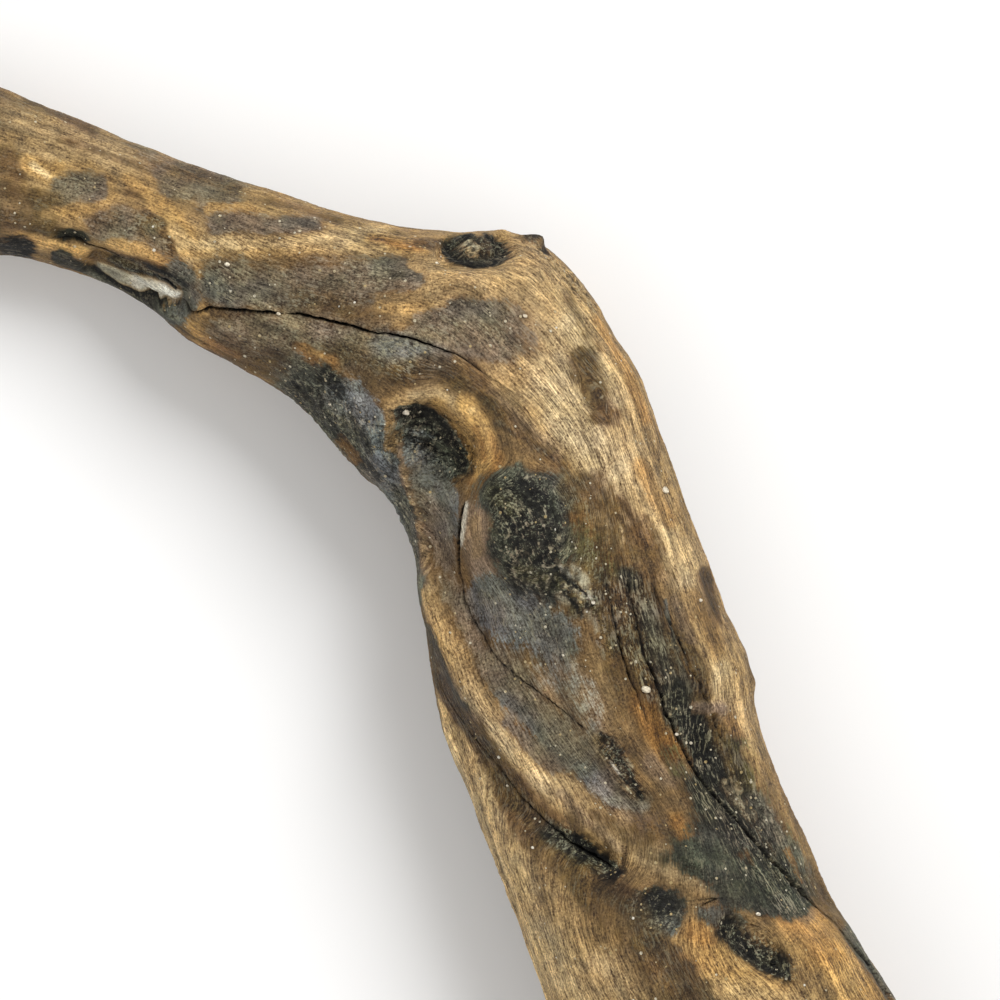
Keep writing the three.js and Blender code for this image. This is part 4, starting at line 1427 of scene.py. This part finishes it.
class WoodNodes(Nodes):
    """The noises, marks and painted values that the driftwood's material is made from."""

    def __init__(self, material):
        super().__init__(material)
        self.grain = self.attribute("grain", "Vector")
        self.place = self.add("ShaderNodeTexCoord").outputs["Object"]
        self.painted = SimpleNamespace(**{
            name: self.attribute(name)
            for name in (*FINISH_AT_REST, "weathered_cover", "cavity", "split_edge", "broken_end")})
        for name, (length, *settings) in GRAIN_NOISES.items():
            drawn_out = self.stretch(self.grain, (1.0, 1.0, length))
            setattr(self, name, self.noise(drawn_out, *settings))
        for name, settings in PLAIN_NOISES.items():
            setattr(self, name, self.noise(self.place, *settings))
        fibre, rough = self.painted.fibre, self.painted.rough
        self.lines = self.thin_lines(self.contours, 0.022, 0.008)
        self.pores = self.ramp(self.dashes, 0.585, 0.645)
        self.chips = self.between(self.round_chips, self.long_chips, fibre)
        self.crumbs = self.between(self.round_crumbs, self.long_crumbs, fibre)
        hairs = self.noise(self.stretch(self.place, (1.0, 2.4, 1.0)), 210.0, 4.0, 0.62, 0.3)
        grouped = self.ramp(self.swung(self.groups, (self.clouds, 0.6)), 0.38, 0.52)
        hair_places = self.greater(self.painted.crazed, self.times(rough, 0.5))
        self.hair = self.times(self.times(self.thin_lines(hairs, 0.03, 0.01), grouped), hair_places)
        self.fine_sand = self.stuck_sand(0.0011, 0.11, 0.14, 0.2)
        self.coarse_sand = self.stuck_sand(0.0034, 0.05, 0.04, 0.08)

    def stuck_sand(self, cell, mottled_chance, size, spread):
        """Grains of sand scattered over the wood: 1 on a grain and 0 elsewhere."""
        inputs = {"Vector": self.place, "Scale": 1 / cell}
        cells = self.add("ShaderNodeTexVoronoi", inputs, feature="F1")
        pick = self.add("ShaderNodeSeparateColor", {"Color": cells.outputs["Color"]})
        chance = self.plus(0.04, self.painted.mottle, mottled_chance)
        chosen = self.math("LESS_THAN", pick.outputs["Red"], chance)
        radius = self.plus(size, pick.outputs["Green"], spread)
        return self.times(self.math("LESS_THAN", cells.outputs["Distance"], radius), chosen)

    def lit(self, tone, *swings):
        """A painted tone in light and shade, browner where it is dark and paler where light."""
        share = self.ramp(self.swung(1.0, *swings), *LIGHT_RANGE, shape="LINEAR")
        return self.tinted(self.attribute(tone, "Color"), self.mix(share, DARKEST, LIGHTEST))


def wood_colour(n):
    """The wood with its fibres, and over it the weathered layer, worn through along them."""
    fibre, cover = n.painted.fibre, n.painted.weathered_cover
    wood = n.lit("wood_tone", (n.fibres, n.plus(0.6, fibre, 2.6)), (n.streaks, 0.9),
                 (n.grit, 2.6), (n.clouds, 1.3))
    weathered = n.lit("weathered_tone", (n.clouds, 2.2), (n.grit, 3.6),
                      (n.fibres, n.plus(0.5, fibre, 3.0)))
    patchy = n.swung(0.0, (n.fibres, n.plus(0.3, fibre, 1.6)), (n.clouds, 1.1), (n.grit, 0.6))
    looseness = n.times(n.times(cover, n.math("SUBTRACT", 1.0, cover)), 4.0)
    worn = n.plus(cover, patchy, n.plus(0.25, looseness, 0.9))
    colour = n.mix(n.ramp(worn, 0.2, 0.8), wood, weathered)
    stripe = n.greater(n.times(n.lines, 0.5), n.times(n.pores, 0.6))
    stripe = n.times(stripe, n.plus(0.1, fibre, 0.8))
    return n.mix(stripe, colour, n.tinted(colour, shade("stripe")))


def add_chips(n, colour):
    """Pale flecks and dark pits in the weathered layer, long ones along the fibres."""
    chips = n.swung(n.chips, (n.groups, 0.35))
    weathered = n.times(n.painted.mottle, n.ramp(n.painted.weathered_cover, 0.3, 0.9))
    fleck_tone = n.mix(0.6, n.attribute("weathered_tone", "Color"), shade("fleck"))
    colour = n.laid(colour, fleck_tone, n.ramp(chips, 0.53, 0.60), weathered, 0.8)
    return n.laid(colour, shade("pit"), n.ramp(chips, 0.42, 0.35), weathered, 0.7)


def add_patches_and_cavity_shade(n, colour):
    """Warm and cool patches, painted shade in the low places and painted highlight on the high
    ones.
    """
    colour = n.tinted(colour, n.mix(n.ramp(n.warmth, 0.35, 0.65), COOL, WARM))
    amount = n.plus(0.2, n.ramp(n.painted.weathered_cover, 0.1, 0.8), 0.8)
    colour = n.tinted(colour, n.mix(n.ramp(n.tint, 0.36, 0.64), REDDER, GREENER), amount)
    # Painted shade and highlight: the colour is darkened where the cavity value is low and
    # brightened where it is high.
    return n.tinted(colour, n.ramp(n.painted.cavity, 0.2, 0.75, 0.62, 1.16))


def add_crust(n, colour):
    """Black crevices, partly painted shade, and dull crumbs with some painted highlight on the
    rough patches, and hair cracks.
    """
    rough, cavity = n.painted.rough, n.painted.cavity
    # Partly painted shade: the crust's crevices go near black, more so where the surface lies low.
    crevice = n.ramp(n.swung(n.crumbs, (cavity, -0.7)), 0.47, 0.57)
    colour = n.laid(colour, shade("crevice"), crevice, rough, 0.9)
    # Partly painted highlight: the pale crumb tone lies on the grainy high spots, more so where the
    # surface lies high.
    tops = n.ramp(n.swung(n.grit, (n.groups, 0.25), (cavity, 0.3)), 0.60, 0.68)
    colour = n.laid(colour, shade("crumb"), tops, rough, 0.6)
    return n.laid(colour, shade("hair crack"), n.hair)


def add_sand(n, colour):
    fine_tone = n.mix(n.ramp(n.streaks, 0.4, 0.6), shade("fine sand"), shade("golden sand"))
    colour = n.laid(colour, fine_tone, n.fine_sand, 0.8)
    return n.laid(colour, shade("coarse sand"), n.coarse_sand, 0.85)


def add_end_rings(n, colour):
    """Rings round the heart on the torn ends."""
    across = n.add("ShaderNodeVectorMath", operation="MULTIPLY")
    n.link(n.grain, across.inputs[0])
    n.link((1.0, 1.0, 0.0), across.inputs[1])
    away = n.add("ShaderNodeVectorMath", operation="LENGTH")
    n.link(across.outputs[0], away.inputs[0])
    rings = n.math("SINE", n.plus(n.times(away.outputs["Value"], 2.4), n.warp, 14.0))
    rings = n.ramp(n.swung(rings, (n.clouds, 5.0)), -1.2, 1.2)
    ring_tone = n.mix(rings, shade("dark ring"), shade("light ring"))
    ring_tone = n.laid(ring_tone, shade("end stain"), n.ramp(n.end_stain, 0.42, 0.62), 0.75)
    ring_tone = n.tinted(ring_tone, n.swung(1.0, (n.grit, 3.5)))
    return n.laid(colour, ring_tone, n.ramp(n.painted.broken_end, 0.1, 0.7), 0.85)


def add_splits(n, colour):
    """Splits and the butt's checks are black inside, with a dark rim: painted shade in the open
    gaps.
    """
    ragged = n.swung(n.painted.split_edge, (n.fibres, 0.6))
    # Painted shade: the colour is darkened along each split's rim and made near black inside it.
    rim_shade_tone = n.tinted(colour, shade("split rim shade"))
    colour = n.laid(colour, rim_shade_tone, n.ramp(ragged, 0.8, 0.0), 0.4)
    return n.laid(colour, shade("split"), n.ramp(ragged, 0.12, -0.08))


def wood_relief(n):
    fibre, mottle = n.painted.fibre, n.painted.mottle
    relief = n.times(n.fibres, n.plus(0.3, fibre, 1.0))
    for height, amount in (
        (n.greater(n.pores, n.lines), n.times(fibre, -0.35)),
        (n.clouds, n.plus(0.3, mottle, 1.3)), (n.grit, n.plus(0.25, mottle, 0.5)),
        (n.crumbs, n.times(n.painted.rough, 2.4)), (n.hair, -0.8),
        (n.greater(n.fine_sand, n.coarse_sand), 0.5),
    ):
        relief = n.plus(relief, height, amount)
    bump = n.add("ShaderNodeBump", {"Strength": 1.0, "Distance": BUMP_DEPTH, "Height": relief})
    return bump.outputs["Normal"]


def driftwood_material():
    material = bpy.data.materials.new("weathered_driftwood")
    material.use_nodes = True
    n = WoodNodes(material)
    colour = wood_colour(n)
    for add in (add_chips, add_patches_and_cavity_shade, add_crust, add_sand, add_end_rings, add_splits):
        colour = add(n, colour)
    shader = n.add("ShaderNodeBsdfPrincipled", {
        "Base Color": colour, "Roughness": n.ramp(n.clouds, 0.3, 0.7, 0.62, 0.86),
        "Specular IOR Level": 0.3, "Normal": wood_relief(n)})
    n.add("ShaderNodeOutputMaterial", {"Surface": shader.outputs[0]})
    return material


def place_object(name, data):
    made = bpy.data.objects.new(name, data)
    bpy.context.scene.collection.objects.link(made)
    return made


def build_camera():
    camera = place_object("camera", bpy.data.cameras.new("camera"))
    x, y = grid_place(VIEW_SIZE / 2, VIEW_SIZE / 2)
    camera.location = (x * MM, y * MM, CAMERA_HEIGHT)
    camera.data.sensor_width = SENSOR
    camera.data.lens = SENSOR * (CAMERA_HEIGHT - FOCUS_HEIGHT) / (VIEW_SIZE * GRID * MM)
    camera.data.clip_end = 50.0
    bpy.context.scene.camera = camera


def build_stage():
    bpy.ops.mesh.primitive_plane_add(size=FLOOR_SIZE, location=(0, 0, 0))
    floor = bpy.context.object
    floor.name = "studio_floor"
    material = bpy.data.materials.new("studio_white")
    material.use_nodes = True
    shader = material.node_tree.nodes["Principled BSDF"]
    shader.inputs["Base Color"].default_value = FLOOR_COLOUR
    shader.inputs["Roughness"].default_value = 0.9
    shader.inputs["Specular IOR Level"].default_value = 0.1
    floor.data.materials.append(material)


def build_lights():
    for name, (size, power, position) in LAMPS.items():
        lamp = place_object(name, bpy.data.lights.new(name, "AREA"))
        lamp.data.size = size
        lamp.data.energy = power
        lamp.location = position
        aim = LAMP_AIM - Vector(position)
        lamp.rotation_euler = aim.to_track_quat("-Z", "Y").to_euler()
    world = bpy.data.worlds.new("studio")
    bpy.context.scene.world = world
    world.use_nodes = True
    background = world.node_tree.nodes["Background"]
    background.inputs["Color"].default_value = SKY_COLOUR
    background.inputs["Strength"].default_value = SKY_STRENGTH
    bpy.context.scene.view_settings.view_transform = "Standard"


build_camera()
limb = place_object("driftwood_limb", build_skin_mesh())
limb.data.materials.append(driftwood_material())
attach(limb, "root")
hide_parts("driftwood")
sand = place_object("stuck_sand", build_pebbles())
sand.data.materials.append(limb.data.materials[0])
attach(sand, "root")
build_stage()
build_lights()
